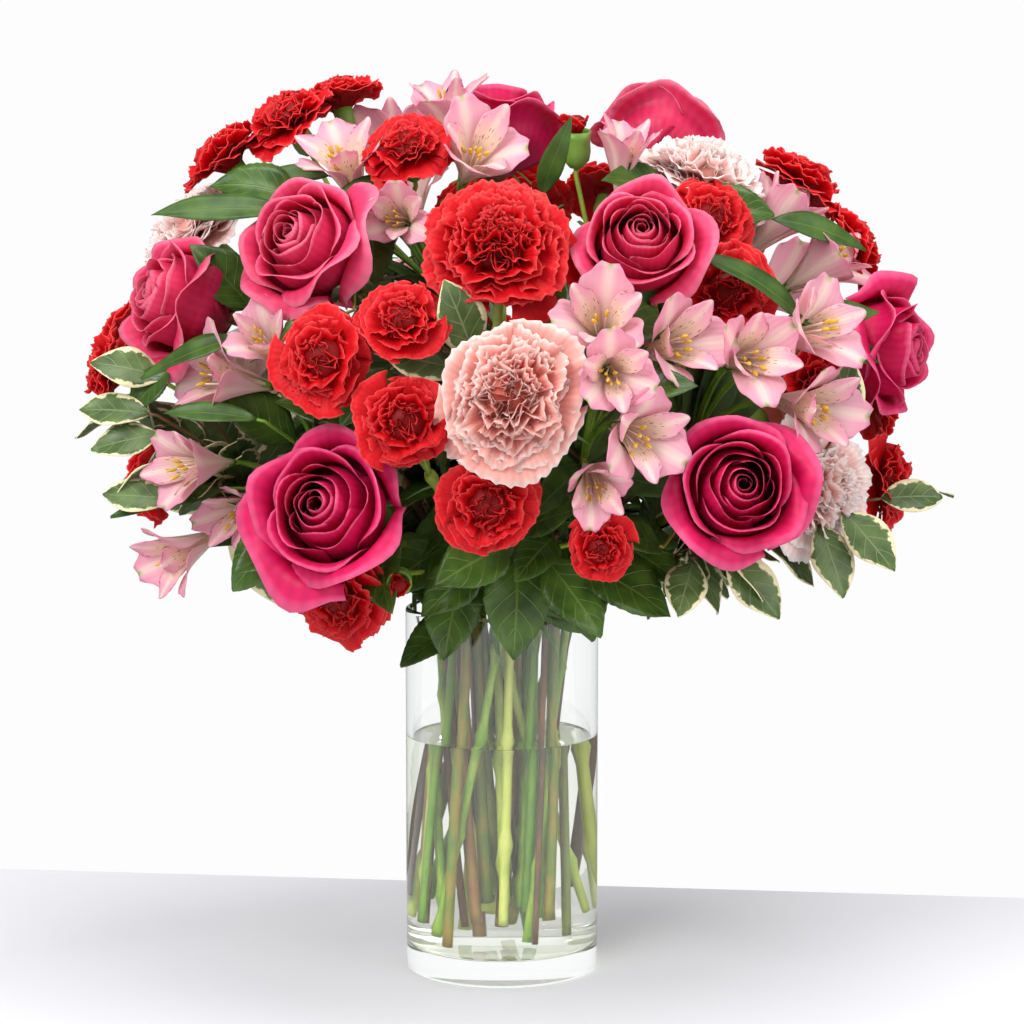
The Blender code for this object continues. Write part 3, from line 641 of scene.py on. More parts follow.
def sheet(columns: int, rows: int, place: Callable[[float, float], Vector],
          thickness: float, tone: float = 1.0, back: int = 0) -> bmesh.types.BMesh:
    """A thin closed sheet, laid out on a grid and bent into place.

    Args:
        columns: Cells across.
        rows: Cells along.
        place: Gives the point for across (-1 to 1) and along (0 to 1).
        thickness: Thickness in the units of place.
        tone: Tone of the whole sheet.
        back: Material number of its second side.

    Returns:
        The shape, which the caller frees.
    """
    shape = new_shape()
    uv_layer = shape.loops.layers.uv[UV_NAME]
    tone_layer = shape.verts.layers.float[TONE_NAME]
    bmesh.ops.create_grid(shape, x_segments=columns, y_segments=rows, size=1.0)
    for face in shape.faces:
        for loop in face.loops:
            loop[uv_layer].uv = ((loop.vert.co.x + 1) / 2, (loop.vert.co.y + 1) / 2)
    for vert in shape.verts:
        vert[tone_layer] = tone
        vert.co = place(vert.co.x, (vert.co.y + 1) / 2)
    front = set(shape.faces)
    bmesh.ops.solidify(shape, geom=list(shape.faces), thickness=thickness)
    for face in shape.faces:
        face.smooth = True
        if face not in front:
            face.material_index = back
    if shape.calc_volume(signed=True) < 0:
        bmesh.ops.reverse_faces(shape, faces=shape.faces)
    return shape


def tube(course: list[Vector], radii: list[float], sides: int = 10,
         tone: float = 0.4) -> bmesh.types.BMesh:
    """A closed round bar bent along a course.

    Args:
        course: Points along its middle.
        radii: Its radius at each of them.
        sides: Sides round it.
        tone: Tone of the whole bar.

    Returns:
        The shape, which the caller frees.
    """
    shape = new_shape()
    last = len(course) - 1
    bmesh.ops.create_cone(shape, cap_ends=True, segments=sides, radius1=1, radius2=1, depth=last,
                          matrix=Matrix.Translation((0, 0, last / 2)))
    if last > 1:
        sides_up = [e for e in shape.edges if abs(e.verts[0].co.z - e.verts[1].co.z) > 0.5]
        bmesh.ops.subdivide_edges(shape, edges=sides_up, cuts=last - 1, use_grid_fill=True)
    turns = []
    lean = Vector((0.3, 0.2, 1.0)) if abs((course[-1] - course[0]).normalized().z) < 0.9 \
        else Vector((0.0, 1.0, 0.1))
    for i in range(last + 1):
        way = course[min(i + 1, last)] - course[max(i - 1, 0)]
        turns.append(aim(way, lean))
    tone_layer = shape.verts.layers.float[TONE_NAME]
    for vert in shape.verts:
        vert[tone_layer] = tone
        i = min(last, max(0, round(vert.co.z)))
        flat = Vector((vert.co.x * radii[i], vert.co.y * radii[i], 0.0))
        vert.co = course[i] + turns[i] @ flat
    for face in shape.faces:
        face.smooth = len(face.verts) == 4
    return shape


def turned(outline: Iterable[tuple[float, float]], steps: int) -> bmesh.types.BMesh:
    """A body turned about Z from an outline of (radius, height) that starts and ends on it.

    Args:
        outline: Points of the outline.
        steps: Steps of the turn.

    Returns:
        The shape, which the caller frees.
    """
    shape = new_shape()
    verts = [shape.verts.new((r, 0.0, z)) for r, z in outline]
    edges = [shape.edges.new(pair) for pair in zip(verts, verts[1:])]
    bmesh.ops.spin(shape, geom=verts + edges, cent=(0, 0, 0), axis=(0, 0, 1),
                   angle=math.tau, steps=steps, use_merge=True)
    bmesh.ops.remove_doubles(shape, verts=shape.verts, dist=1e-7)
    bmesh.ops.recalc_face_normals(shape, faces=shape.faces)
    for face in shape.faces:
        face.smooth = True
    return shape


def smooth_course(points: list[Vector], step: float) -> list[Vector]:
    """A soft curve through points, sampled at about even steps.

    Args:
        points: The points it passes.
        step: The step in metres.

    Returns:
        The points of the curve.
    """
    ends = [points[0] * 2 - points[1], *points, points[-1] * 2 - points[-2]]
    course = [points[0].copy()]
    for a, b, c, d in zip(ends, ends[1:], ends[2:], ends[3:]):
        count = max(1, round((c - b).length / step))
        for i in range(1, count + 1):
            t = i / count
            course.append(0.5 * (2 * b + (c - a) * t + (2 * a - 5 * b + 4 * c - d) * t * t
                                 + (3 * b - a - 3 * c + d) * t ** 3))
    return course


class Rail:
    """The middle line of a petal, as radius and height, grown in even steps from its foot."""

    def __init__(self, foot: tuple[float, float], length: float, steps: int,
                 lean: Callable[[float], float]) -> None:
        """Grow the line.

        Args:
            foot: Its first radius and height.
            length: Its length.
            steps: Its steps.
            lean: Gives its angle from upright at a share of its length.
        """
        self.points = [foot]
        self.steps = steps
        for i in range(steps):
            angle = lean((i + 0.5) / steps)
            r, z = self.points[-1]
            self.points.append((r + math.sin(angle) * length / steps,
                                z + math.cos(angle) * length / steps))

    def at(self, share: float) -> tuple[float, float, float]:
        """A place on the line.

        Args:
            share: How far along it is.

        Returns:
            Its radius, its height and the line's angle from upright there.
        """
        reach = min(self.steps - 1e-6, max(0.0, share * self.steps))
        i, rest = int(reach), reach - int(reach)
        (r_0, z_0), (r_1, z_1) = self.points[i], self.points[i + 1]
        return blend(r_0, r_1, rest), blend(z_0, z_1, rest), math.atan2(r_1 - r_0, z_1 - z_0)


def round_axis(radius: float, side: float, height: float, turn: float) -> Vector:
    """A point of a petal that stands in a direction round Z.

    Args:
        radius: Its distance out along that direction.
        side: Its distance sideways.
        height: Its height.
        turn: The direction.

    Returns:
        The point.
    """
    return Vector((radius * math.cos(turn) - side * math.sin(turn),
                   radius * math.sin(turn) + side * math.cos(turn), height))


class Piece:
    """One visible object that gathers shapes, each with its material."""

    def __init__(self, name: str, finishes: list[Finish]) -> None:
        """Start an empty piece.

        Args:
            name: The object's name.
            finishes: Its materials, by number.
        """
        self.name = name
        self.finishes = finishes
        self.shape = new_shape()

    def add(self, shape: bmesh.types.BMesh, number: int | None = None,
            matrix: Matrix | None = None) -> None:
        """Join a shape to the piece, and free it.

        Args:
            shape: The shape to join.
            number: Material number for all of it, or None to keep its own.
            matrix: Where it goes.
        """
        carrier = bpy.data.meshes.new("carrier")
        shape.to_mesh(carrier)
        if matrix:
            carrier.transform(matrix)
        if number is not None:
            carrier.polygons.foreach_set("material_index", [number] * len(carrier.polygons))
        self.shape.from_mesh(carrier)
        bpy.data.meshes.remove(carrier)
        shape.free()

    def number_of(self, finish: Finish) -> int:
        """The number of a finish on the piece, which is added if it isn't there yet.

        Args:
            finish: The finish.

        Returns:
            Its material number.
        """
        if finish not in self.finishes:
            self.finishes.append(finish)
        return self.finishes.index(finish)

    def add_mesh(self, mesh: bpy.types.Mesh, matrix: Matrix) -> None:
        """Join a placed copy of a mesh, with its own material numbers.

        Args:
            mesh: The mesh to copy.
            matrix: Where the copy goes.
        """
        carrier = mesh.copy()
        carrier.transform(matrix)
        self.shape.from_mesh(carrier)
        bpy.data.meshes.remove(carrier)

    def finish(self, nodes: list[str], slot: str) -> None:
        """Make the object, and let it ride on the frame.

        Args:
            nodes: The plain solids that it stands for.
            slot: The record's material slot, which is not used.
        """
        mesh = self.form()
        for finish in self.finishes:
            mesh.materials.append(finish.material())
        thing = bpy.data.objects.new(self.name, mesh)
        bpy.context.scene.collection.objects.link(thing)
        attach(thing, "root")
        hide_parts(*nodes)
        LOG.info("%s: %d faces, for %s", self.name, len(mesh.polygons), ", ".join(nodes))

    def form(self) -> bpy.types.Mesh:
        """Make a mesh that pieces are copied from.

        Returns:
            The mesh, in mm.
        """
        mesh = bpy.data.meshes.new(self.name)
        self.shape.to_mesh(mesh)
        self.shape.free()
        return mesh


# ------------------------------------------------------------ the plain frame

@dataclass(frozen=True)
class Plate:
    """A flat many-sided face of a plain solid, as a bloom's top or a leaf's side has.

    Attributes:
        centre: Its middle.
        normal: Its outward direction.
        along: The direction of its longest reach.
        length: Its longest measure.
        width: Its measure across that.
    """

    centre: Vector
    normal: Vector
    along: Vector
    length: float
    width: float

    @property
    def radius(self) -> float:
        """Half its longest measure."""
        return self.length / 2

    def tops(self, disc_radius: float, disc_height: float) -> tuple[float, Vector]:
        """Fit a bloom of a known size under the plate.

        Args:
            disc_radius: The radius in mm that the plate has on a bloom of full size.
            disc_height: Its height in mm over that bloom's base.

        Returns:
            The bloom's scale and its base.
        """
        size = self.radius / (disc_radius * MM)
        return size, self.centre - self.normal * disc_height * MM * size


class PlainSolid:
    """What a node of the frame tells about its plant."""

    FLAT = math.radians(1.0)
    LEAST_SIDES = 7
    LEAST_DISC = 4.6 * MM
    LEAST_LEAF = 20 * MM
    ROUND = 0.86
    SLIM = 0.8
    STEM_SIDES = 6

    def __init__(self, node: str) -> None:
        """Read a node.

        Args:
            node: The node's name.
        """
        self.shape = bmesh.new()
        self.shape.from_mesh(frame["nodes"][node].data)
        bmesh.ops.remove_doubles(self.shape, verts=self.shape.verts, dist=1e-5)

    def plates(self) -> list[Plate]:
        """Find the flat faces with many sides.

        Returns:
            The plates.
        """
        flat = self.shape.copy()
        bmesh.ops.dissolve_limit(flat, angle_limit=self.FLAT, verts=flat.verts, edges=flat.edges)
        found = [self.plate(face) for face in flat.faces if len(face.verts) >= self.LEAST_SIDES]
        flat.free()
        return found

    @staticmethod
    def plate(face: bmesh.types.BMFace) -> Plate:
        """Measure one flat face.

        Args:
            face: The face.

        Returns:
            Its measures.
        """
        points = [v.co.copy() for v in face.verts]
        middle = face.calc_center_median()
        far = max(((a - b).length, i, j) for i, a in enumerate(points)
                  for j, b in enumerate(points[:i]))
        along = (points[far[1]] - points[far[2]]).normalized()
        across = face.normal.cross(along)
        spread = [(p - middle).dot(across) for p in points]
        centre = (points[far[1]] + points[far[2]]) / 2
        return Plate(centre, face.normal.copy(), along, far[0], max(spread) - min(spread))

    def discs(self) -> list[Plate]:
        """Find the round plates, which are the tops of blooms and buds.

        Returns:
            The plates, widest first.
        """
        found = [p for p in self.plates()
                 if p.width > self.ROUND * p.length and p.radius > self.LEAST_DISC]
        return sorted(found, key=lambda p: -p.radius)

    def leaves(self) -> list[Plate]:
        """Find the long plates that face out of the bouquet, which are leaves.

        Returns:
            The plates.
        """
        long_ones = [p for p in self.plates()
                     if p.width < self.SLIM * p.length and p.length > self.LEAST_LEAF]
        return [p for p in long_ones
                if p.normal.dot((p.centre - DOME_CENTRE).normalized() + UP * 0.4) > 0]

    def course(self) -> list[Vector]:
        """Follow the stem from its cut end up, ring by ring, as far as it goes clean.

        Returns:
            The middles of the rings.
        """
        ring = sorted(self.shape.verts, key=lambda v: v.co.z)[:self.STEM_SIDES]
        seen: set[bmesh.types.BMVert] = set(ring)
        middles = [sum((v.co for v in ring), Vector()) / len(ring)]
        while True:
            following = {e.other_vert(v) for v in ring for e in v.link_edges} - seen
            if not following:
                return middles
            middles.append(sum((v.co for v in following), Vector()) / len(following))
            if len(following) != self.STEM_SIDES:
                return middles
            seen |= following
            ring = list(following)


# -------------------------------------------------------------------- leaves

@dataclass(frozen=True)
class LeafShape:
    """A leaf's outline and the way it bends.

    Attributes:
        finish: Its finish.
        length: Length in mm.
        width: Width in mm.
        belly: Where along its length it is widest, 0 to 1.
        teeth: Teeth on each side.
        arch: How far the tip bends back, in degrees.
        fold: How far the halves fold up, in degrees.
        wave: Height of the waves in its edge, in mm.
        thickness: Thickness in mm.
    """

    finish: Finish
    length: float
    width: float
    belly: float = 0.45
    teeth: int = 0
    arch: float = 35.0
    fold: float = 18.0
    wave: float = 0.8
    thickness: float = 0.45

    def half_width(self, along: float) -> float:
        """Half the blade's width at a place along it.

        Args:
            along: The place, from the foot (0) to the tip (1).

        Returns:
            The half width in mm.
        """
        if along < self.belly:
            share = math.sin(along / self.belly * math.pi / 2) ** 0.8
        else:
            share = math.cos((along - self.belly) / (1 - self.belly) * math.pi / 2) ** 0.85
        return self.width / 2 * max(share, 0.04)

    def build(self, chance: random.Random) -> bmesh.types.BMesh:
        """A leaf from its foot at the origin along +Y, facing +Z.

        Args:
            chance: The random source.

        Returns:
            The leaf in mm.
        """
        phase = chance.uniform(0, math.tau)
        arch = math.radians(self.arch * chance.uniform(0.6, 1.4))
        twist = math.radians(chance.uniform(-16, 16))
        fold = math.tan(math.radians(self.fold))
        rows = 26 if self.teeth else 14

        def place(u: float, v: float) -> Vector:
            """Bend one point of the leaf.

            Args:
                u: Across, from -1 to 1.
                v: Along, from 0 to 1.

            Returns:
                The point in mm.
            """
            half = self.half_width(v)
            if self.teeth:
                half *= 1 - 0.07 * ((v * self.teeth) % 1.0) * abs(u)
            x = u * half
            bend = arch * v
            y = self.length * (math.sin(bend) / arch if arch else v)
            z = -self.length * ((1 - math.cos(bend)) / arch if arch else 0)
            z += abs(x) * fold + self.wave * math.sin(v * 9 + phase + u) * abs(u)
            turn = twist * v
            return Vector((x * math.cos(turn) - z * math.sin(turn) * 0.3, y,
                           z + x * math.sin(turn)))

        return sheet(6, rows, place, self.thickness, tone=chance.uniform(0.4, 1.0))


class Leaf(Enum):
    """The kinds of leaf in the bouquet."""

    ROSE = LeafShape(Finish.ROSE_LEAF, 44, 27, 0.42, teeth=13, arch=40)
    SALAL = LeafShape(Finish.SALAL_LEAF, 58, 36, 0.42, teeth=16, arch=30, fold=10, wave=1.6)
    LANCE = LeafShape(Finish.LANCE_LEAF, 74, 20, 0.42, arch=32, fold=12, wave=1.0)
    GRASS = LeafShape(Finish.GREY_LEAF, 58, 5.5, 0.25, arch=70, fold=25, wave=0.2)
    PITTOSPORUM = LeafShape(Finish.VARIEGATED_LEAF, 38, 22, 0.52, arch=18, fold=8, wave=1.0)


def place_leaf(piece: Piece, number: int, kind: Leaf, foot: Vector, tip_way: Vector, face: Vector,
               size: float, chance: random.Random) -> None:
    """Put a leaf on a piece.

    Args:
        piece: The piece it joins.
        number: Its material number there.
        kind: The kind of leaf.
        foot: Where it starts.
        tip_way: Where it points.
        face: Where its upper side looks.
        size: Scale on its kind's size.
        chance: The random source.
    """
    way = tip_way.normalized()
    side = way.cross(face).normalized()
    turn = Matrix((side, way, side.cross(way))).transposed().to_4x4()
    matrix = Matrix.Translation(foot) @ turn @ Matrix.Scale(size * MM, 4)
    piece.add(kind.value.build(chance), number, matrix)


@dataclass(frozen=True)
class Accent:
    """A single leaf that shows between the blooms.

    Attributes:
        plant: The plant that it grows on.
        kind: The kind of leaf.
        foot: Where it starts, in mm from the origin.
        tip: Where it ends, in mm from the origin.
        face: Where its upper side looks.
    """

    plant: str
    kind: Leaf
    foot: tuple[float, float, float]
    tip: tuple[float, float, float]
    face: tuple[float, float, float] = (0.0, -0.8, 0.6)


ACCENTS = (
    Accent("alstroemeria_1", Leaf.LANCE, (-108, -62, 402), (-168, -84, 408), (0, -0.75, 0.65)),
    Accent("alstroemeria_1", Leaf.LANCE, (-62, -44, 420), (-92, -60, 402), (0, -0.8, 0.5)),
    Accent("alstroemeria_1", Leaf.LANCE, (-88, -30, 420), (-124, -40, 425), (0, -0.8, 0.5)),
    Accent("alstroemeria_1", Leaf.ROSE, (-66, -60, 398), (-62, -84, 372)),
    Accent("carnation_4", Leaf.ROSE, (84, -38, 412), (58, -60, 424)),
    Accent("carnation_4", Leaf.ROSE, (98, -40, 404), (136, -50, 406)),
    Accent("alstroemeria_2", Leaf.LANCE, (20, -60, 410), (30, -90, 440), (0, -0.9, 0.3)),
    Accent("alstroemeria_2", Leaf.LANCE, (138, -30, 398), (192, -30, 392), (0, -0.8, 0.5)),
    Accent("alstroemeria_2", Leaf.LANCE, (98, -92, 380), (158, -98, 362), (0.3, -0.6, 0.8)),
    Accent("alstroemeria_3", Leaf.LANCE, (140, -84, 348), (190, -72, 356), (0, -0.8, 0.5)),
    Accent("alstroemeria_3", Leaf.LANCE, (150, -80, 338), (205, -50, 335), (0, -0.8, 0.5)),
    Accent("alstroemeria_4", Leaf.ROSE, (60, -125, 312), (88, -140, 326)),
    Accent("alstroemeria_5", Leaf.LANCE, (-130, -80, 340), (-182, -76, 326), (0, -0.7, 0.7)),
    Accent("alstroemeria_5", Leaf.LANCE, (-120, -100, 300), (-165, -100, 310), (0, -0.7, 0.7)),
    Accent("alstroemeria_5", Leaf.LANCE, (-140, -62, 262), (-196, -70, 256), (-0.2, -0.7, 0.7)),
    Accent("alstroemeria_5", Leaf.ROSE, (-102, -95, 245), (-136, -112, 224)),
    Accent("rose_4", Leaf.ROSE, (-76, -95, 352), (-112, -110, 338)),
    Accent("rose_5", Leaf.ROSE, (-168, -52, 322), (-190, -62, 305)),
    Accent("rose_5", Leaf.ROSE, (-128, -36, 352), (-150, -52, 386)),
    Accent("rose_4", Leaf.ROSE, (-72, -56, 296), (-106, -74, 316)),
    Accent("rose_4", Leaf.ROSE, (-56, -60, 322), (-80, -80, 300)),
    Accent("alstroemeria_5", Leaf.ROSE, (-104, -58, 286), (-138, -72, 312)),
    Accent("alstroemeria_1", Leaf.ROSE, (-104, -36, 408), (-140, -54, 426)),
    Accent("rose_3", Leaf.ROSE, (28, -105, 372), (14, -128, 342)),
    Accent("rose_3", Leaf.ROSE, (40, -100, 345), (80, -118, 352)),
    Accent("rose_1", Leaf.ROSE, (-100, -100, 240), (-128, -122, 232)),
    Accent("rose_2", Leaf.ROSE, (78, -100, 238), (60, -128, 250)),
    Accent("pittosporum_3", Leaf.PITTOSPORUM, (-12, -118, 330), (-24, -135, 366)),
    Accent("pittosporum_3", Leaf.PITTOSPORUM, (-18, -118, 325), (-52, -136, 336)),
    Accent("pittosporum_1", Leaf.PITTOSPORUM, (-178, -60, 300), (-212, -62, 306)),
    Accent("pittosporum_1", Leaf.PITTOSPORUM, (-172, -62, 290), (-205, -70, 286)),
    Accent("pittosporum_1", Leaf.PITTOSPORUM, (-170, -50, 318), (-205, -58, 328)),
    Accent("pittosporum_1", Leaf.PITTOSPORUM, (-166, -70, 258), (-198, -76, 262)),
    Accent("pittosporum_2", Leaf.PITTOSPORUM, (166, -78, 292), (172, -92, 326)),
    Accent("pittosporum_2", Leaf.PITTOSPORUM, (196, -30, 254), (228, -30, 258)),
    Accent("pittosporum_2", Leaf.PITTOSPORUM, (172, -66, 252), (196, -84, 226)),
    Accent("pittosporum_2", Leaf.PITTOSPORUM, (160, -70, 245), (172, -88, 214)),
    Accent("pittosporum_3", Leaf.PITTOSPORUM, (96, -82, 228), (88, -112, 210)),
    Accent("pittosporum_3", Leaf.PITTOSPORUM, (112, -88, 232), (138, -104, 206)),
    Accent("spray_carnation_3", Leaf.SALAL, (8, -92, 240), (-30, -118, 226)),
    Accent("spray_carnation_3", Leaf.SALAL, (12, -98, 246), (34, -128, 262)),
    Accent("salal_1", Leaf.SALAL, (38, -86, 228), (84, -104, 212), (0.1, -0.8, 0.6)),
    Accent("salal_1", Leaf.SALAL, (22, -88, 230), (50, -110, 200), (0.2, -0.9, 0.4)),
    Accent("salal_1", Leaf.SALAL, (-10, -80, 228), (-38, -98, 206), (-0.2, -0.9, 0.4)),
    Accent("salal_1", Leaf.SALAL, (26, -86, 240), (10, -118, 232), (0.0, -0.8, 0.7)),
    Accent("salal_1", Leaf.SALAL, (-25, -70, 236), (-66, -84, 216), (-0.3, -0.8, 0.5)),
)


def add_accents(piece: Piece, plant: str, course: list[Vector], chance: random.Random) -> None:
    """Add a plant's accent leaves, each on a twig from the nearest part of its stem.

    Args:
        piece: The plant's green piece.
        plant: The plant's name.
        course: The middle of its stem.
        chance: The random source.
    """
    for accent in ACCENTS:
        if accent.plant != plant:
            continue
        foot, tip = Vector(accent.foot) * MM, Vector(accent.tip) * MM
        way = tip - foot
        root = min(course, key=lambda point: (point - foot).length)
        piece.add(branch(root, foot, way.normalized(), 0.8 * MM), 0)
        size = way.length / (accent.kind.value.length * MM) * 1.05
        place_leaf(piece, piece.number_of(accent.kind.value.finish), accent.kind, foot, way,
                   Vector(accent.face), size, chance)


# --------------------------------------------------------------------- roses

@dataclass
class Rose:
    """A large-flowered rose, half open: a tight spiral heart in a cup of reflexed petals.

    Attributes:
        disc_radius: Radius of the plain solid's top.
        disc_height: Its height over the bloom's base.
        petals: Petals of a bloom.
        variants: Different blooms that the roses share.
        columns: Cells across a petal.
        rows: Cells along a petal.
        thickness: Thickness of a petal.
        leaves: Leaves on a stem.
        fullness: Width of a bloom beside its form.
        paler: The coral roses.
        slimmer: The roses that are less open.
        slim: Their width beside the others'.
        stem_foot: Radius of a stem at its cut end.
        stem_top: Radius of a stem under its bloom.
        meshes: The blooms, in mm.
    """

    disc_radius: float = 27.0
    disc_height: float = 56.0
    petals: int = 21
    variants: int = 4
    columns: int = 18
    rows: int = 14
    thickness: float = 0.45
    leaves: int = 10
    fullness: float = 0.9
    paler: tuple[str, ...] = ("rose_3", "rose_4", "rose_5", "rose_8", "rose_10")
    slimmer: tuple[str, ...] = ("rose_2", "rose_3")
    slim: float = 0.9
    stem_foot: float = 2.8
    stem_top: float = 2.4
    meshes: list[bpy.types.Mesh] = field(default_factory=list)

    def petal(self, share: float, turn: float, chance: random.Random) -> bmesh.types.BMesh:
        """One petal of the spiral.

        Args:
            share: Its place from the heart (0) to the outside (1).
            turn: Its direction round the bloom.
            chance: The random source.

        Returns:
            The petal in mm, with the bloom's base at the origin and its axis along Z.
        """
        top = 48 + 22 * share - 28 * share ** 2 + chance.uniform(-1.5, 1.5)
        rim = (2.4 + 28.5 * share ** 1.35) * chance.uniform(0.96, 1.04)
        belly = 6 + 26 * share ** 0.8
        curl = 0.4 + 11 * share ** 2.2 * chance.uniform(0.7, 1.3)
        reach = math.radians(blend(125, 66, share ** 0.6))
        lift = chance.uniform(-2.5, 2.5) * share
        point = 7.0 * ease((share - 0.45) / 0.5) * chance.uniform(0.5, 1.2)
        spiral = blend(0.16, 0.05, share)
        phase = chance.uniform(0, math.tau)

        def place(u: float, v: float) -> Vector:
            """Bend one point of the rose petal.

            Args:
                u: Across, from -1 to 1.
                v: Along, from 0 to 1.

            Returns:
                The point in mm.
            """
            low = min(v / 0.55, 1.0)
            high = max(0.0, (v - 0.55) / 0.45)
            radius = 3 + (belly - 3) * math.sin(low * math.pi / 2) ** 0.8
            radius += (rim - belly) * high
            rolled = curl * (0.65 + 0.7 * math.sin(min(abs(u), 1.0) * math.pi) ** 2)
            radius += rolled * high ** 2 * (0.5 + 0.5 * high)
            height = top * v ** 0.85 - 0.8 * rolled * high ** 3
            height -= (3 + 15 * share) * abs(u) ** 4 * v
            tip = ease(1 - abs(u) / 0.55) ** 1.5 * high ** 2
            height += point * 0.6 * tip
            radius += point * tip
            height += (0.5 + 1.3 * share) * math.sin(4 * u + phase) * high + lift * v * u
            radius *= 1 + spiral * u
            radius += 1.2 * share * math.sin(6 * u + phase) * high
            angle = turn + u * reach * (0.45 + 0.55 * math.sin(min(v / 0.7, 1) * math.pi / 2))
            return Vector((radius * math.cos(angle), radius * math.sin(angle), height))

        # painted shade: petals nearer the heart get a lower tone, which the finish darkens
        return sheet(self.columns, self.rows, place, self.thickness,
                     tone=blend(0.55, 1.0, share ** 0.7), back=1)

    def build_meshes(self) -> None:
        """Build the blooms that all roses are copied from."""
        for variant in range(self.variants):
            chance = seeded(f"rose{variant}")
            bloom = Piece(f"rose_bloom_form_{variant}", [])
            start = chance.uniform(0, math.tau)
            for k in range(self.petals):
                share = k / (self.petals - 1)
                turn = start + k * GOLDEN_ANGLE
                bloom.add(self.petal(share, turn, chance))
            self.meshes.append(bloom.form())

    def dress(self, name: str, variant: int) -> None:
        """Build one rose of the bouquet: its bloom, its hip and sepals, and its leafy stem.

        Args:
            name: The rose's name, which its nodes start with.
            variant: Which form its bloom takes.
        """
        disc = PlainSolid(name + "_bloom").discs()[0]
        size, base = disc.tops(self.disc_radius, self.disc_height)
        chance = seeded(name)
        wide = self.fullness * (self.slim if name in self.slimmer else 1.0)
        scale = Matrix.Scale(size * MM, 4) @ Matrix.Diagonal((wide, wide, 1.0, 1.0))
        turn = aim(disc.normal) @ Matrix.Rotation(chance.uniform(0, math.tau), 4, "Z")
        matrix = Matrix.Translation(base) @ turn @ scale
        pale = name in self.paler
        bloom = Piece(name + "_petals",
                      [Finish.PALE_ROSE_INSIDE, Finish.PALE_ROSE_OUTSIDE] if pale
                      else [Finish.ROSE_INSIDE, Finish.ROSE_OUTSIDE])
        bloom.add_mesh(self.meshes[variant % self.variants], matrix)
        bloom.finish([name + "_bloom"], "rose_petals")
        course = PlainSolid(name + "_stem").course()
        stem = Piece(name + "_leafy_stem", [Finish.ROSE_STEM, Finish.ROSE_LEAF, Finish.CALYX])
        course = smooth_course(course, 6 * MM)
        radii = [blend(self.stem_foot, self.stem_top, i / len(course)) * MM
                 for i in range(len(course))]
        stem.add(tube(course, radii, 12, chance.random()), 0)
        stem.add(turned(ROSE_HIP, 12), 2, matrix)
        for k in range(5):
            self.add_sepal(stem, matrix, k * math.tau / 5 + 0.3, chance)
        self.add_leaves(stem, course, chance)
        add_accents(stem, name, course, chance)
        stem.finish([name + "_stem"], "rose_stems")

    def add_sepal(self, stem: Piece, matrix: Matrix, turn: float, chance: random.Random) -> None:
        """A narrow sepal that bends back under the bloom.

        Args:
            stem: The piece it joins, whose finish for it is number 2.
            matrix: Where the bloom is.
            turn: The sepal's direction round the bloom.
            chance: The random source.
        """
        droop = chance.uniform(0.3, 1.0)

        def place(u: float, v: float) -> Vector:
            """Bend one point of the sepal.

            Args:
                u: Across, from -1 to 1.
                v: Along, from 0 to 1.

            Returns:
                The point in mm.
            """
            half = 4.2 * (1 - v) ** 0.7 * (0.6 + 0.4 * math.sin(v * 6)) + 0.25
            radius = 4.5 + 20 * v
            height = 6 + 5 * v - 16 * droop * v * v
            side = u * half
            return round_axis(radius, side, height + 0.6 * abs(u), turn)

        stem.add(sheet(2, 8, place, 0.5), 2, matrix)

    def add_leaves(self, stem: Piece, course: list[Vector], chance: random.Random) -> None:
        """Toothed leaves along the stem's upper stretch.

        Args:
            stem: The piece they join, whose finish for them is number 1.
            course: The stem's middle.
            chance: The random source.
        """
        last = len(course) - 1
        for k in range(self.leaves):
            spot = course[round(last * blend(0.58, 0.95, k / (self.leaves - 1)))]
            way = course[min(last, round(last * 0.9) + 1)] - course[round(last * 0.75)]
            outward = Matrix.Rotation(k * GOLDEN_ANGLE + chance.random(), 3, way.normalized()) \
                @ way.normalized().orthogonal()
            tip = outward + way.normalized() * chance.uniform(0.4, 1.0)
            place_leaf(stem, 1, Leaf.ROSE, spot, tip, way, chance.uniform(0.8, 1.2), chance)


# ---------------------------------------------------------------- carnations

